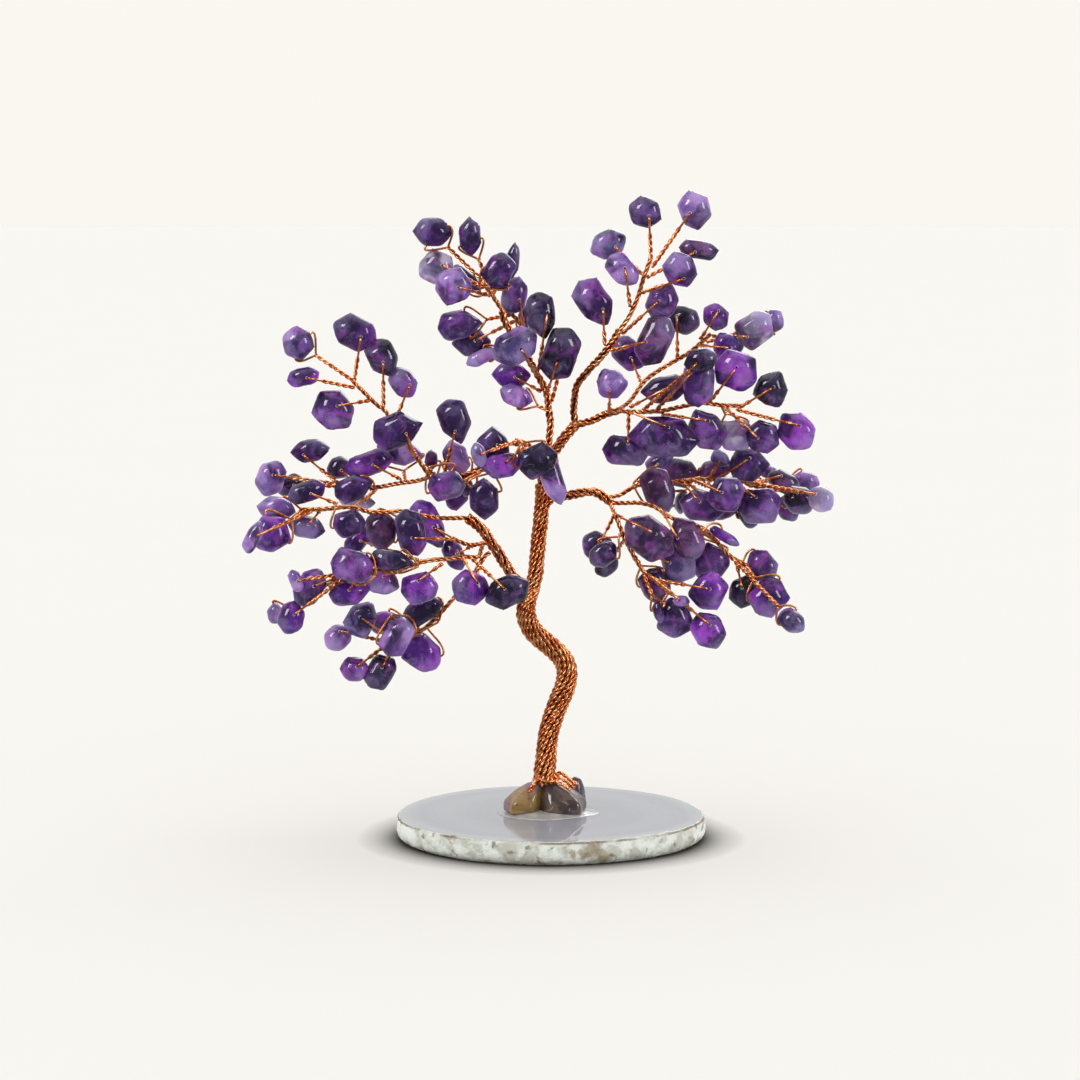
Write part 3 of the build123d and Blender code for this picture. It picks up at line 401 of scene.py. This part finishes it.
def nugget_finish(name, pale, deep, purple):
    """Tumbled quartz with clouds, veins and a purple patch."""
    material, stone = finish_named(name)
    clouds = stone.grain(230, 4.0, 0.7)
    colour = stone.mixed(stone.between(clouds, 0.36, 0.62), deep, pale)
    patch = stone.between(stone.grain(150, 2.0), 0.48, 0.62) * 0.8
    colour = stone.mixed(patch, colour, purple)
    veining = stone.between(stone.grain(520, 5.0, 1.5), 0.62, 0.72) * 0.6
    colour = stone.mixed(veining, colour, (0.55, 0.50, 0.44, 1))
    stone.feed(
        Base_Color=colour,
        Roughness=0.09 + clouds * 0.12,
        Normal=stone.bump(clouds, cloud_relief, 0.4),
        Transmission_Weight=0.12,
        IOR=1.54,
    )
    return material


cloud_relief = 0.4 * mm
nugget_voxel = 0.30 * mm
nugget_lump = 4 * mm
nugget_sink = 2.5 * mm
nugget_lean = 0.5 * mm
seat_slack = 0.1 * mm
nugget_lump_share = 0.06
nugget_rise_share = 1.17
nugget_foot_share = 1.10
nugget_taper_share = 0.42
nugget_looks = {
    "amber_nugget": (
        "amber_quartz", 1, (0.40, 0.25, 0.085, 1), (0.20, 0.115, 0.045, 1), (0.24, 0.13, 0.29, 1)),
    "smoky_nugget": (
        "smoky_quartz", -1, (0.17, 0.12, 0.095, 1), (0.065, 0.042, 0.042, 1), (0.14, 0.07, 0.18, 1)),
    "small_nugget": (
        "smoky_quartz", 0, (0.22, 0.16, 0.20, 1), (0.09, 0.07, 0.10, 1), (0.15, 0.10, 0.19, 1)),
}
for node, (slot, side, pale, deep, purple) in nugget_looks.items():
    look = nugget_finish(node + "_polish", pale, deep, purple)
    corners = stone_node(node)
    seat = corners[:, 2].min()
    underside = corners[corners[:, 2] < seat + seat_slack] - (0, 0, nugget_sink)
    shape = tumbled(np.vstack((corners, underside)), nugget_voxel, nugget_lump_share, nugget_lump, 1.0)
    points = read_off(shape.vertices, "co", 3)
    points[:, 2] = np.maximum(points[:, 2], seat)
    points[:, 2] = seat + (points[:, 2] - seat) * nugget_rise_share
    height_shares = (points[:, 2] - seat) / np.ptp(points[:, 2])
    taper = nugget_foot_share - nugget_taper_share * height_shares**1.5
    middle = (corners.max(0) + corners.min(0)) / 2
    meeting = middle[0] + side * np.ptp(corners[:, 0]) / 2
    points[:, 0] = meeting + (points[:, 0] - meeting) * taper + side * nugget_lean
    points[:, 1] = middle[1] + (points[:, 1] - middle[1]) * taper
    shape.vertices.foreach_set("co", points.ravel())
    shape.materials.clear()
    shape.materials.append(look)
    stone = bpy.data.objects.new(node.replace("nugget", "stone"), shape)
    bpy.context.scene.collection.objects.link(stone)
    stand_for(stone, slot, "stand_and_trunk", node)

# The trunk is a rope of copper strands. Each strand is two 0.5 mm wires twisted together,
# and strands leave the rope at each fork to make the limbs.
draw_marks = 0.04 * mm
copper_finish, copper = finish_named("twisted_copper")
tarnish = copper.grain(420, 5.0, 0.4)
sheen = copper.between(tarnish, 0.35, 0.68)
copper_colour = copper.mixed(sheen, (0.64, 0.162, 0.040, 1), (1.0, 0.46, 0.19, 1))
browned = copper.between(copper.grain(110, 2.0), 0.55, 0.7) * 0.5
copper_colour = copper.mixed(browned, copper_colour, (0.30, 0.062, 0.014, 1))
# Points that face into the rope, between the wires, are painted near-black: painted shade in the crevices.
unshaded_share = copper.node("ShaderNodeAttribute", {"attribute_name": "crevice_shading"}, out="Fac")
copper_colour = copper.mixed(copper.between(unshaded_share, -0.3, 0.5), (0.16, 0.034, 0.010, 1), copper_colour)
copper.feed(
    Base_Color=copper_colour,
    Metallic=0.9,
    Roughness=0.22 + copper.between(tarnish, 0.4, 0.7) * 0.14,
    Normal=copper.bump(copper.grain(2600, 2.0), draw_marks, 0.3),
)
wire_radius = 0.265 * mm
wire_sides = 7
pair_twist = 3.1 * mm
pair_share = 0.96
strand_step = 0.36 * mm
cable_step = 0.32 * mm
strand_turn = 0.8
sway_length = 19 * mm
heave_length = sway_length * 0.7
sway_share = 0.06
heave_share = 0.03
curve_steps = 16
side_hint = (0.31, 0.87, 0.38)


def even_line(route, step):
    """Evenly spaced points on a smooth line past a route's points."""
    route = np.array(route)
    ends = np.vstack((route[0] * 2 - route[1], route, route[-1] * 2 - route[-2]))
    fine = []
    for a, b, c, d in zip(ends, ends[1:], ends[2:], ends[3:]):
        for t in np.linspace(0, 1, curve_steps, endpoint=False):
            fine.append(0.5 * (2 * b + (c - a) * t + (2 * a - 5 * b + 4 * c - d) * t**2
                               + (3 * b - a - 3 * c + d) * t**3))
    fine = np.array(fine + [route[-1]])
    run = np.concatenate(([0], np.cumsum(np.linalg.norm(np.diff(fine, axis=0), axis=1))))
    marks = np.linspace(0, run[-1], max(3, int(run[-1] / step) + 1))
    return np.stack([np.interp(marks, run, fine[:, axis]) for axis in range(3)], axis=1), marks


def line_frames(line):
    """Two directions across a line at each of its points, which turn as little as can be."""
    ways = np.gradient(line, axis=0)
    ways /= np.linalg.norm(ways, axis=1)[:, None]
    side = np.cross(ways[0], side_hint)
    sides = []
    for way in ways:
        side = side - (side @ way) * way
        side = side / np.linalg.norm(side)
        sides.append(side)
    sides = np.array(sides)
    return sides, np.cross(ways, sides)


class WireWork:
    """Round wires gathered into one mesh."""

    def __init__(self):
        self.points = []
        self.faces = []
        self.crevice_shading = []

    def wire(self, line, radius=wire_radius, sides=wire_sides, hub=None, outward=None, reach=1.0):
        """One round wire along a line. Its crevice shading says how far out of the rope a point lies, for
        the painted shade in the crevices.
        """
        across, upright = line_frames(line)
        start = len(self.points)
        angles = np.linspace(0, 2 * math.pi, sides, endpoint=False)[None, :, None]
        spokes = np.cos(angles) * across[:, None, :] + np.sin(angles) * upright[:, None, :]
        rings = line[:, None, :] + radius * spokes
        self.points.extend(rings.reshape(-1, 3))
        if outward is None:
            self.crevice_shading.extend([1.0] * (len(line) * sides))
        else:
            clear_of_hub = ((rings - hub[:, None, :]) * outward[:, None, :]).sum(2)
            self.crevice_shading.extend((clear_of_hub / reach).ravel())
        for face in stacked_faces(len(line), sides):
            self.faces.append(tuple(start + index for index in face))

    def pair(self, line, marks, phase=0.0, outward=None):
        """Two wires twisted round each other along a line."""
        across, upright = line_frames(line)
        for half in (0, math.pi):
            turn = (2 * math.pi * marks / pair_twist + phase + half)[:, None]
            middle = line + wire_radius * pair_share * (np.cos(turn) * across + np.sin(turn) * upright)
            self.wire(middle, hub=line, outward=outward, reach=wire_radius * 2)

    def rope(self, route, strands, ring_radius, lay, phase=0.0):
        """Strands laid round a line, in a ring of one radius or of several along the way."""
        line, marks = even_line(route, strand_step)
        across, upright = line_frames(line)
        shares = marks / marks[-1]
        if np.ndim(ring_radius):
            ring = np.interp(shares, np.linspace(0, 1, len(ring_radius)), ring_radius)[:, None]
        else:
            ring = ring_radius
        for strand in range(strands):
            sway = sway_share * np.sin(2 * math.pi * marks / sway_length + strand * 1.7)
            turn = (2 * math.pi * (marks / lay + strand / strands) + phase + sway)[:, None]
            heave = 1 + heave_share * np.sin(2 * math.pi * marks / heave_length + strand * 2.9)[:, None]
            outward = np.cos(turn) * across + np.sin(turn) * upright
            self.pair(line + ring * heave * outward, marks, strand * strand_turn, outward)

    def cable(self, route, wires, lay, phase):
        """Single wires twisted together along a line."""
        line, marks = even_line(route, cable_step)
        across, upright = line_frames(line)
        ring = wire_radius * 0.97 / math.sin(math.pi / wires)
        for wire in range(wires):
            turn = (2 * math.pi * (marks / lay + wire / wires) + phase)[:, None]
            outward = np.cos(turn) * across + np.sin(turn) * upright
            middle = line + ring * outward
            self.wire(middle, hub=middle, outward=outward, reach=wire_radius)

    def piece(self, name):
        """The wires as one piece of the tree."""
        made = mesh_piece(name, self.points, self.faces, copper_finish)
        note_points(made, "crevice_shading", self.crevice_shading)
        return made


trunk_route = [(x * mm, 0, z * mm) for x, z in (
    (-1.0, 12.4), (-1.3, 15.1), (-1.0, 19.1), (-0.3, 24.8), (1.5, 30.5), (3.4, 35.4),
    (3.8, 38.9), (2.7, 42.0), (-0.1, 44.8), (-3.4, 47.6), (-5.2, 50.4), (-5.7, 53.0),
    (-5.3, 55.6), (-4.3, 58.4), (-3.5, 61.6), (-3.1, 65.8), (-2.7, 70.3), (-2.2, 74.9),
    (-2.0, 78.9), (-2.0, 82.6), (-1.7, 85.4), (-0.5, 90.1),
)]
rope_lay = 48 * mm
low_rings = np.array((2.3, 2.0, 2.0, 2.05, 2.0, 2.05, 1.9, 1.5)) * mm
middle_rings = np.array((1.5, 1.4, 1.38, 1.35, 1.1)) * mm
top_rings = np.array((0.85, 0.75, 0.7)) * mm
low_core = 1.0 * mm
middle_core = 0.6 * mm
core_step = 1.5 * mm
core_sides = 12
trunk_rope = WireWork()
for route, strands, rings, phase, core in (
    (trunk_route[:14], 13, low_rings, 0.0, low_core),
    (trunk_route[12:20], 9, middle_rings, 0.9, middle_core),
    (trunk_route[18:], 5, top_rings, 0.3, 0),
):
    trunk_rope.rope(route, strands, rings, rope_lay, phase)
    if core:
        core_line = even_line(route, core_step)[0]
        trunk_rope.wire(core_line, core, core_sides)
stand_for(trunk_rope.piece("trunk_rope"), "copper_wire", "stand_and_trunk", "trunk_strands", "trunk_core")

# At the foot a single wire is bound once round the rope, and a few strands are bent out
# over the nuggets as roots before the glue sets.
def tube_route(corners, around, end_face):
    """The middle line of a straight-sided tube, read ring by ring from an end face."""
    ring = set(end_face)
    seen, route = set(), []
    while ring:
        route.append(corners[sorted(ring)].mean(0))
        seen |= ring
        ring = {other for index in ring for other in around[index]} - seen
    return route


even_sided = 1.04


def end_faces(corners, faces, sides):
    """The faces of a tube whose sides are all alike: its two ends."""
    found = []
    for face in faces:
        if len(face) == sides:
            lengths = np.linalg.norm(corners[face] - corners[face[1:] + face[:1]], axis=1)
            if lengths.max() < lengths.min() * even_sided:
                found.append((lengths.max(), face))
    found.sort(key=lambda item: item[0])
    return [face for length, face in found]


binding = WireWork()
tie_low, tie_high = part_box("tie_wire")
tie_middle = (tie_low + tie_high) / 2
tie_drop = 0.7 * mm
tie_inset = 0.3 * mm
tie_wave = 0.5 * mm
tie_radius = 0.27 * mm
tie_sides = 8
tie_reach = (tie_high.x - tie_low.x) / 2 - tie_inset
tie_angles = np.linspace(-2.3, 2 * math.pi - 1.9, 90)
tie_line = np.stack([
    tie_middle.x + tie_reach * np.cos(tie_angles),
    tie_middle.y + tie_reach * np.sin(tie_angles),
    tie_middle.z - tie_drop + tie_wave * np.sin(tie_angles * 1.5),
], axis=1)
binding.wire(tie_line, tie_radius, tie_sides)
stand_for(binding.piece("foot_binding"), "copper_wire", "stand_and_trunk", "tie_wire")
roots = WireWork()
root_step = 0.3 * mm
root_routes = (
    ((-2.6, -1.2, 13.9), (-3.6, -2.2, 12.9), (-4.6, -3.2, 11.6), (-5.1, -3.7, 10.2)),
    ((0.2, -1.5, 13.9), (1.7, -2.5, 13.1), (3.2, -3.1, 12.5), (4.6, -3.4, 11.4)),
    ((0.9, -0.9, 14.2), (2.4, -1.6, 14.0), (4.0, -2.1, 13.0), (5.6, -2.4, 11.7)),
    ((0.9, 0.4, 14.4), (2.6, 0.6, 14.8), (3.4, 0.2, 14.2), (5.2, -0.2, 12.9), (6.4, -0.6, 12.1)),
)
for route in root_routes:
    line, marks = even_line([np.array(point) * mm for point in route], root_step)
    roots.pair(line, marks)
stand_for(roots.piece("root_wires"), "copper_wire", "stand_and_trunk", "root_strands")

# Each limb is a thinner rope that leaves the trunk and forks into stems. It is annealed wire,
# bent by hand at its root. The rope stays where it is built, at the limb's rest place.
limb_leads = {
    "crown_left_cable": ((-2.0, 0, 84.0), (-1.3, -0.9, 88.0)),
    "crown_right_cable": ((-1.8, 0, 84.0), (-0.9, 0.5, 87.6)),
    "low_right_cable": ((-2.4, -0.2, 71.8), (-1.9, -0.3, 76.2)),
    "left_cable": ((-1.4, 0.6, 80.2), (-1.9, 1.0, 84.6)),
    "low_left_cable": ((-5.4, -0.6, 50.8), (-5.6, -0.6, 54.6)),
}
limb_lay = 24 * mm
fork_overlap = 2.2 * mm
bend_before = 1.0 * mm
bend_after = 5.0 * mm
strand_half = wire_radius * 1.96
limb_pivots = {joint["child"]: Vector(joint["pos_m"]) for joint in frame["joints"]}


def strands_for(radius):
    """How many strands make up a rope of a radius, and how far out they lie."""
    ring = max(radius - strand_half, strand_half * 0.9)
    return max(2, round(2 * math.pi * ring / (strand_half * 2.05))), ring


def cable_radius(corners, face):
    """The radius of a cable, from its end face."""
    return np.linalg.norm(corners[face] - corners[face].mean(0), axis=1).max()


def rooted(route, root):
    """The route, turned if need be so that it starts at the end nearest its root."""
    if np.linalg.norm(route[-1] - root) < np.linalg.norm(route[0] - root):
        return route[::-1]
    return route


def with_tail(route, length):
    """The route with a point added behind its start, inside what it forks from."""
    back = route[0] - route[1]
    return [route[0] + back * length / np.linalg.norm(back)] + route


for node, lead in limb_leads.items():
    body = frame["nodes"][node]["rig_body"]
    lead_points = [np.array(point) * mm for point in lead]
    work = WireWork()
    for order, (corners, around, faces) in enumerate(loose_solids(node)):
        end_face = end_faces(corners, faces, 6)[0]
        route = rooted(tube_route(corners, around, end_face), lead_points[-1])
        strands, ring = strands_for(cable_radius(corners, end_face))
        if order == 0:
            route = lead_points + route
        else:
            route = with_tail(route, fork_overlap)
        work.rope(route, strands, ring, limb_lay, order * 1.3)
    rope = work.piece(node.replace("_cable", "_rope"))
    pivot = limb_pivots[body]
    tip = Vector(np.mean(work.points, axis=0))
    away = (tip - pivot).normalized()
    pivot - away * bend_before
    pivot + away * bend_after
    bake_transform(rope)
    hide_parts(node)

# Every sprig has stems of twisted wire and, for each chip, one wire folded in two. The fold goes
# through the drilled hole, and its legs are twisted into the twig that holds the chip.
stem_wires = 3
stem_lay = 4.6 * mm
stem_overlap = 1.1 * mm
twig_step = 0.27 * mm
twig_overlap = 1.15 * mm
leg_share = 0.98
loop_rounds = 3


def smooth_loop(points, steps):
    """A rounded line that starts and ends at the first and last point."""
    points = np.array(points)
    for rounding in range(steps):
        fine = [points[0]]
        for a, b in zip(points, points[1:]):
            fine += [a * 0.75 + b * 0.25, a * 0.25 + b * 0.75]
        points = np.array(fine + [points[-1]])
    return points


def chip_wire(work, route):
    """A wire from the stem, round the chip's edge, through its hole and back, its legs twisted."""
    foot = (route[0] + route[-1]) / 2
    fork = (route[1] + route[-2]) / 2
    reach = np.linalg.norm(fork - foot)
    way = (fork - foot) / reach
    beside = route[1] - route[-2]
    beside = beside - (beside @ way) * way
    beside = beside / np.linalg.norm(beside)
    upright = np.cross(way, beside)
    foot = foot - way * twig_overlap
    reach = reach + twig_overlap
    marks = np.linspace(0, reach, max(4, int(reach / twig_step)))
    turn = ((reach - marks) * 2 * math.pi / pair_twist)[:, None]
    spoke = wire_radius * leg_share * (np.cos(turn) * beside + np.sin(turn) * upright)
    middle = foot + marks[:, None] * way
    loop = smooth_loop([middle[-1] + spoke[-1]] + route[2:6] + [middle[-1] - spoke[-1]], loop_rounds)
    work.wire(np.vstack((middle + spoke, loop[1:-1], (middle - spoke)[::-1])))


sprig_names = sorted(node[:-len("_chips")] for node in frame["nodes"] if node.endswith("_chips"))
hole_runs = {}
for sprig in sprig_names:
    node = sprig + "_wire"
    work = WireWork()
    hole_runs[sprig] = []
    for order, (corners, around, faces) in enumerate(loose_solids(node)):
        six_sided = end_faces(corners, faces, 6)
        if six_sided:
            root = np.array(limb_pivots.get(frame["nodes"][node]["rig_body"], trunk_route[-1]))
            route = rooted(tube_route(corners, around, six_sided[0]), root)
            work.cable(with_tail(route, stem_overlap), stem_wires, stem_lay, order * 1.7)
        else:
            route = tube_route(corners, around, end_faces(corners, faces, 4)[0])
            chip_wire(work, route)
            hole_runs[sprig].append((route[3], route[4]))
    twigs = work.piece(sprig + "_twigs")
    stand_for(twigs, "copper_wire", frame["nodes"][node]["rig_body"], node)

# The chips are amethyst: crushed quartz, tumbled until the edges round off, then drilled through.
# They run from nearly black through vivid violet to pale lilac and clear, often within one chip.
plane_bend = 6 * mm
zone_relief = 0.5 * mm
amethyst_finish, amethyst = finish_named("tumbled_amethyst")
tint = amethyst.node("ShaderNodeAttribute", {"attribute_name": "tint"}, out="Color")
glow = amethyst.node("ShaderNodeAttribute", {"attribute_name": "glow"}, out="Color")
veil_and_glow_amount = amethyst.node("ShaderNodeAttribute", {"attribute_name": "veil_and_glow"}, out="Fac")
thin = amethyst.node("ShaderNodeAttribute", {"attribute_name": "thin"}, out="Fac")
zones = amethyst.grain(190, 2.0, 0.9)
veins = amethyst.grain(330, 4.0, 1.6)
bend_colours = amethyst.node("ShaderNodeTexNoise", None, {"Scale": 160}, out="Color")
bend = amethyst.node("ShaderNodeVectorMath", {"operation": "SCALE"}, {0: bend_colours, "Scale": plane_bend})
bent_place = amethyst.node("ShaderNodeVectorMath", {"operation": "ADD"}, {0: amethyst.place(), 1: bend})
plane_sockets = {"Vector": bent_place, "Scale": 330}
plane_colours = amethyst.node("ShaderNodeTexVoronoi", None, plane_sockets, out="Color")
planes = amethyst.node("ShaderNodeSeparateColor", None, {0: plane_colours}, out="Green")
depth_share = amethyst.between(zones * 0.7 + planes * 0.3, 0.42, 0.58)
amethyst_colour = amethyst.mixed(depth_share, tint, glow)
dusk = amethyst.between(amethyst.grain(150, 2.0, 0.5) + planes * 0.12, 0.54, 0.66)
amethyst_colour = amethyst.mixed(dusk * 0.85, amethyst_colour, (0.014, 0.005, 0.042, 1))
blush = amethyst.between(amethyst.grain(240, 3.0, 1.0), 0.54, 0.68) * veil_and_glow_amount
amethyst_colour = amethyst.mixed(blush, amethyst_colour, (0.38, 0.060, 0.50, 1))
# Near each chip's thin edges the colour turns pale lilac: painted light shining through the edges. Veins
# and planes break up where it starts.
edge_glow_and_veils = amethyst.between(thin + veins * 0.30 + planes * 0.15, 1.20, 1.50) * veil_and_glow_amount
amethyst_colour = amethyst.mixed(edge_glow_and_veils, amethyst_colour, (0.40, 0.32, 0.64, 1))
plane_edges = amethyst.node("ShaderNodeTexVoronoi", {"feature": "DISTANCE_TO_EDGE"}, plane_sockets)
cracks = amethyst.between(plane_edges, 0.05, 0.0) * amethyst.between(veins, 0.5, 0.65) * 0.5
amethyst_colour = amethyst.mixed(cracks, amethyst_colour, (0.47, 0.36, 0.70, 1))
amethyst.feed(
    Base_Color=amethyst_colour,
    Roughness=0.06 + amethyst.between(veins, 0.4, 0.7) * 0.10,
    Normal=amethyst.bump(zones, zone_relief, 0.10),
    Transmission_Weight=0.10,
    IOR=1.54,
)
tones = {
    "black": ((0.006, 0.004, 0.014), (0.038, 0.022, 0.075), 0.30),
    "dark": ((0.022, 0.007, 0.057), (0.112, 0.031, 0.228), 0.30),
    "plum": ((0.035, 0.011, 0.045), (0.157, 0.051, 0.171), 0.35),
    "middle": ((0.055, 0.017, 0.129), (0.241, 0.080, 0.410), 0.45),
    "vivid": ((0.076, 0.012, 0.215), (0.319, 0.056, 0.547), 0.40),
    "lilac": ((0.168, 0.076, 0.344), (0.493, 0.291, 0.707), 0.70),
    "slate": ((0.060, 0.040, 0.159), (0.263, 0.189, 0.456), 0.65),
    "clear": ((0.244, 0.190, 0.344), (0.650, 0.551, 0.741), 0.80),
}
chip_tones = {
    "crown_left_low": "vivid lilac black black middle",
    "crown_left_middle": "middle dark lilac middle slate middle",
    "crown_left_tip": "dark clear lilac black dark dark dark",
    "crown_right_middle": "middle plum middle",
    "crown_right_tip": "slate lilac dark middle lilac plum",
    "far_right_middle": "lilac dark dark dark middle black middle",
    "far_right_tip": "vivid clear dark black vivid",
    "far_right_upper": "vivid black vivid vivid clear lilac",
    "front": "slate dark vivid black lilac",
    "left_inner": "plum middle dark lilac dark plum dark",
    "left_outer": "lilac black dark plum dark clear vivid lilac",
    "left_upper": "lilac vivid middle dark black dark middle",
    "low_left_bottom": "lilac middle slate black vivid lilac vivid black",
    "low_left_middle": "vivid lilac black vivid vivid black",
    "low_left_outer": "lilac vivid lilac middle vivid middle",
    "low_left_tip": "lilac vivid lilac slate dark middle",
    "low_left_upper": "plum dark vivid middle",
    "low_right_bottom": "dark middle slate vivid vivid",
    "low_right_inner": "plum slate clear plum middle middle plum",
    "low_right_lower": "dark black black plum plum slate",
    "low_right_middle": "plum middle vivid black middle vivid slate",
    "low_right_outer": "plum slate dark black middle slate plum slate black lilac clear",
}
chip_voxel = 0.42 * mm
chip_lump = 5 * mm
chip_lump_share = 0.09
chip_swell_share = 1.08
tight_swell_shares = {"left_inner": 0.98}
hole_radius = 0.31 * mm
hole_sides = 14
hole_edge = math.radians(50)
drill_bit = bpy.data.objects.new("drill_bit", bpy.data.meshes.new("drill_bit"))
bpy.context.scene.collection.objects.link(drill_bit)


def drilled(stone, run):
    """The stone with the hole that its wire goes through."""
    start, end = run
    way = Vector(end - start)
    place = Matrix.Translation(Vector((start + end) / 2)) @ way.to_track_quat("Z", "Y").to_matrix().to_4x4()
    work = bmesh.new()
    bmesh.ops.create_cone(work, cap_ends=True, segments=hole_sides, radius1=hole_radius,
                          radius2=hole_radius, depth=way.length * 2, matrix=place)
    work.to_mesh(drill_bit.data)
    work.free()
    work = bmesh.new()
    work.from_mesh(stone)
    return reworked(work, "BOOLEAN", operation="DIFFERENCE", object=drill_bit)


for sprig in sprig_names:
    node = sprig + "_chips"
    points, faces, looks, owner, thinness = [], [], [], [], []
    swell = tight_swell_shares.get(sprig, chip_swell_share)
    left_to_right = sorted(loose_solids(node), key=lambda solid: solid[0][:, 0].mean())
    for (corners, around, block_faces), tone in zip(left_to_right, chip_tones[sprig].split()):
        middle = corners.mean(0)
        run = min(hole_runs[sprig], key=lambda ends: np.linalg.norm((ends[0] + ends[1]) / 2 - middle))
        chip = drilled(tumbled(corners, chip_voxel, chip_lump_share, chip_lump, swell), run)
        first = len(points)
        chip_points = read_off(chip.vertices, "co", 3)
        points.extend(chip_points)
        thinness.extend(np.linalg.norm((chip_points - middle) / np.ptp(chip_points, axis=0) * 2, axis=1))
        faces.extend([first + index for index in face.vertices] for face in chip.polygons)
        owner.extend([len(looks)] * len(chip.vertices))
        looks.append(tones[tone])
    stones = mesh_piece(sprig + "_stones", points, faces, amethyst_finish)
    stones.data.set_sharp_from_angle(angle=hole_edge)
    for layer, which in (("tint", 0), ("glow", 1)):
        colours = np.array([look[which] + (1.0,) for look in looks])[owner]
        stones.data.attributes.new(layer, "FLOAT_COLOR", "POINT").data.foreach_set("color", colours.ravel())
    note_points(stones, "veil_and_glow", np.array([look[2] for look in looks])[owner])
    note_points(stones, "thin", thinness)
    stand_for(stones, "amethyst", frame["nodes"][node]["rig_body"], node)
bpy.data.objects.remove(drill_bit)

# The tree stands on a plain pale floor in even studio light, seen a little from above. The floor's
# colour darkens near the stand by ambient occlusion: a painted contact shadow. Three soft boxes
# show only in the polish of the stones, the slice and the wire.
contact_reach = 10 * mm
floor_finish, floor_paint = finish_named("studio_paper_and_painted_shadow")
paper = floor_paint.mixed(floor_paint.grain(6, 2.0), (0.926, 0.905, 0.862, 1), (0.934, 0.914, 0.870, 1))
# Ambient occlusion turns the floor's colour near-black close to the stand: a painted contact shadow.
painted_shadow_openness = floor_paint.node("ShaderNodeAmbientOcclusion", None, {"Distance": contact_reach}, out="AO")
floor_paint.feed(
    Base_Color=floor_paint.mixed(painted_shadow_openness * painted_shadow_openness * painted_shadow_openness, (0.06, 0.05, 0.045, 1), paper),
    Roughness=1.0,
    Specular_IOR_Level=0.0,
)
floor_reach = 120
floor_turns = (math.radians(-30), math.radians(90), math.radians(210))
floor_points = [(floor_reach * math.cos(turn), floor_reach * math.sin(turn), 0) for turn in floor_turns]
floor = mesh_piece("studio_floor", floor_points, [(0, 1, 2)], floor_finish)
floor.visible_glossy = False


def lamp_at(name, kind, place, target, power, size):
    """A lamp that points at a target."""
    lamp = bpy.data.lights.new(name, kind)
    lamp.energy = power
    if kind == "SUN":
        lamp.angle = size
    else:
        lamp.size = size
    holder = bpy.data.objects.new(name, lamp)
    holder.location = place
    holder.rotation_euler = (Vector(target) - Vector(place)).to_track_quat("-Z", "Y").to_euler()
    bpy.context.scene.collection.objects.link(holder)
    return holder


tree_middle = (0, 0, 0.08)
lamp_at("ceiling_glow", "SUN", (0.2, 0.5, 1.6), tree_middle, 0.5, 1.2)
for name, place, power, size in (
    ("left_box", (-0.60, -0.70, 0.75), 9.0, 0.50),
    ("right_box", (0.75, -0.55, 0.45), 4.0, 0.40),
    ("back_box", (0.25, 0.70, 0.60), 4.0, 0.60),
):
    soft_box = lamp_at(name, "AREA", place, tree_middle, power, size)
    soft_box.visible_diffuse = False
sky = bpy.data.worlds.new("studio_sky")
sky.use_nodes = True
room = Shade(sky.node_tree)
look_way = room.node("ShaderNodeTexCoord", out="Generated")
depth = room.node("ShaderNodeSeparateXYZ", None, {0: look_way}, out="Y")
height = room.node("ShaderNodeSeparateXYZ", None, {0: look_way}, out="Z")
low_light = room.between(height, 0.45, 0.0) * (room.between(depth, -1.0, 0.1) * 2.6 + 0.9)
soft_light = low_light + 0.94
mirrored_room = room.between(depth, -0.1, 0.9) * 0.70 + room.between(height, 0.3, 0.95) * 0.35 + 0.26
light_kind = room.node("ShaderNodeLightPath", out="Is Glossy Ray")
seen_direct = room.node("ShaderNodeLightPath", out="Is Camera Ray")
even_glow = room.node("ShaderNodeBackground", None, {"Strength": soft_light})
mirror_glow = room.node("ShaderNodeBackground", None, {"Strength": mirrored_room})
paper_wall = room.node("ShaderNodeBackground", None, {"Color": (0.956, 0.931, 0.880, 1)})
glow_mix = room.node("ShaderNodeMixShader", None, {0: light_kind, 1: even_glow, 2: mirror_glow})
room_mix = room.node("ShaderNodeMixShader", None, {0: seen_direct, 1: glow_mix, 2: paper_wall})
sky.node_tree.links.new(room_mix.socket, sky.node_tree.nodes["World Output"].inputs["Surface"])
bpy.context.scene.world = sky
bpy.context.scene.view_settings.view_transform = "Standard"

camera_place = np.array((-2.431, -696.165, 142.731)) * mm
camera_tilt = math.radians(6)
focal_px = 3023.2
picture_px = 1080
lens = bpy.data.cameras.new("studio_camera")
lens.sensor_width = 36
lens.lens = focal_px / picture_px * lens.sensor_width
lens.clip_start = 0.05
lens.clip_end = 100
camera = bpy.data.objects.new("studio_camera", lens)
camera.location = camera_place
camera.rotation_euler = (math.pi / 2 - camera_tilt, 0, 0)
bpy.context.scene.collection.objects.link(camera)
bpy.context.scene.camera = camera
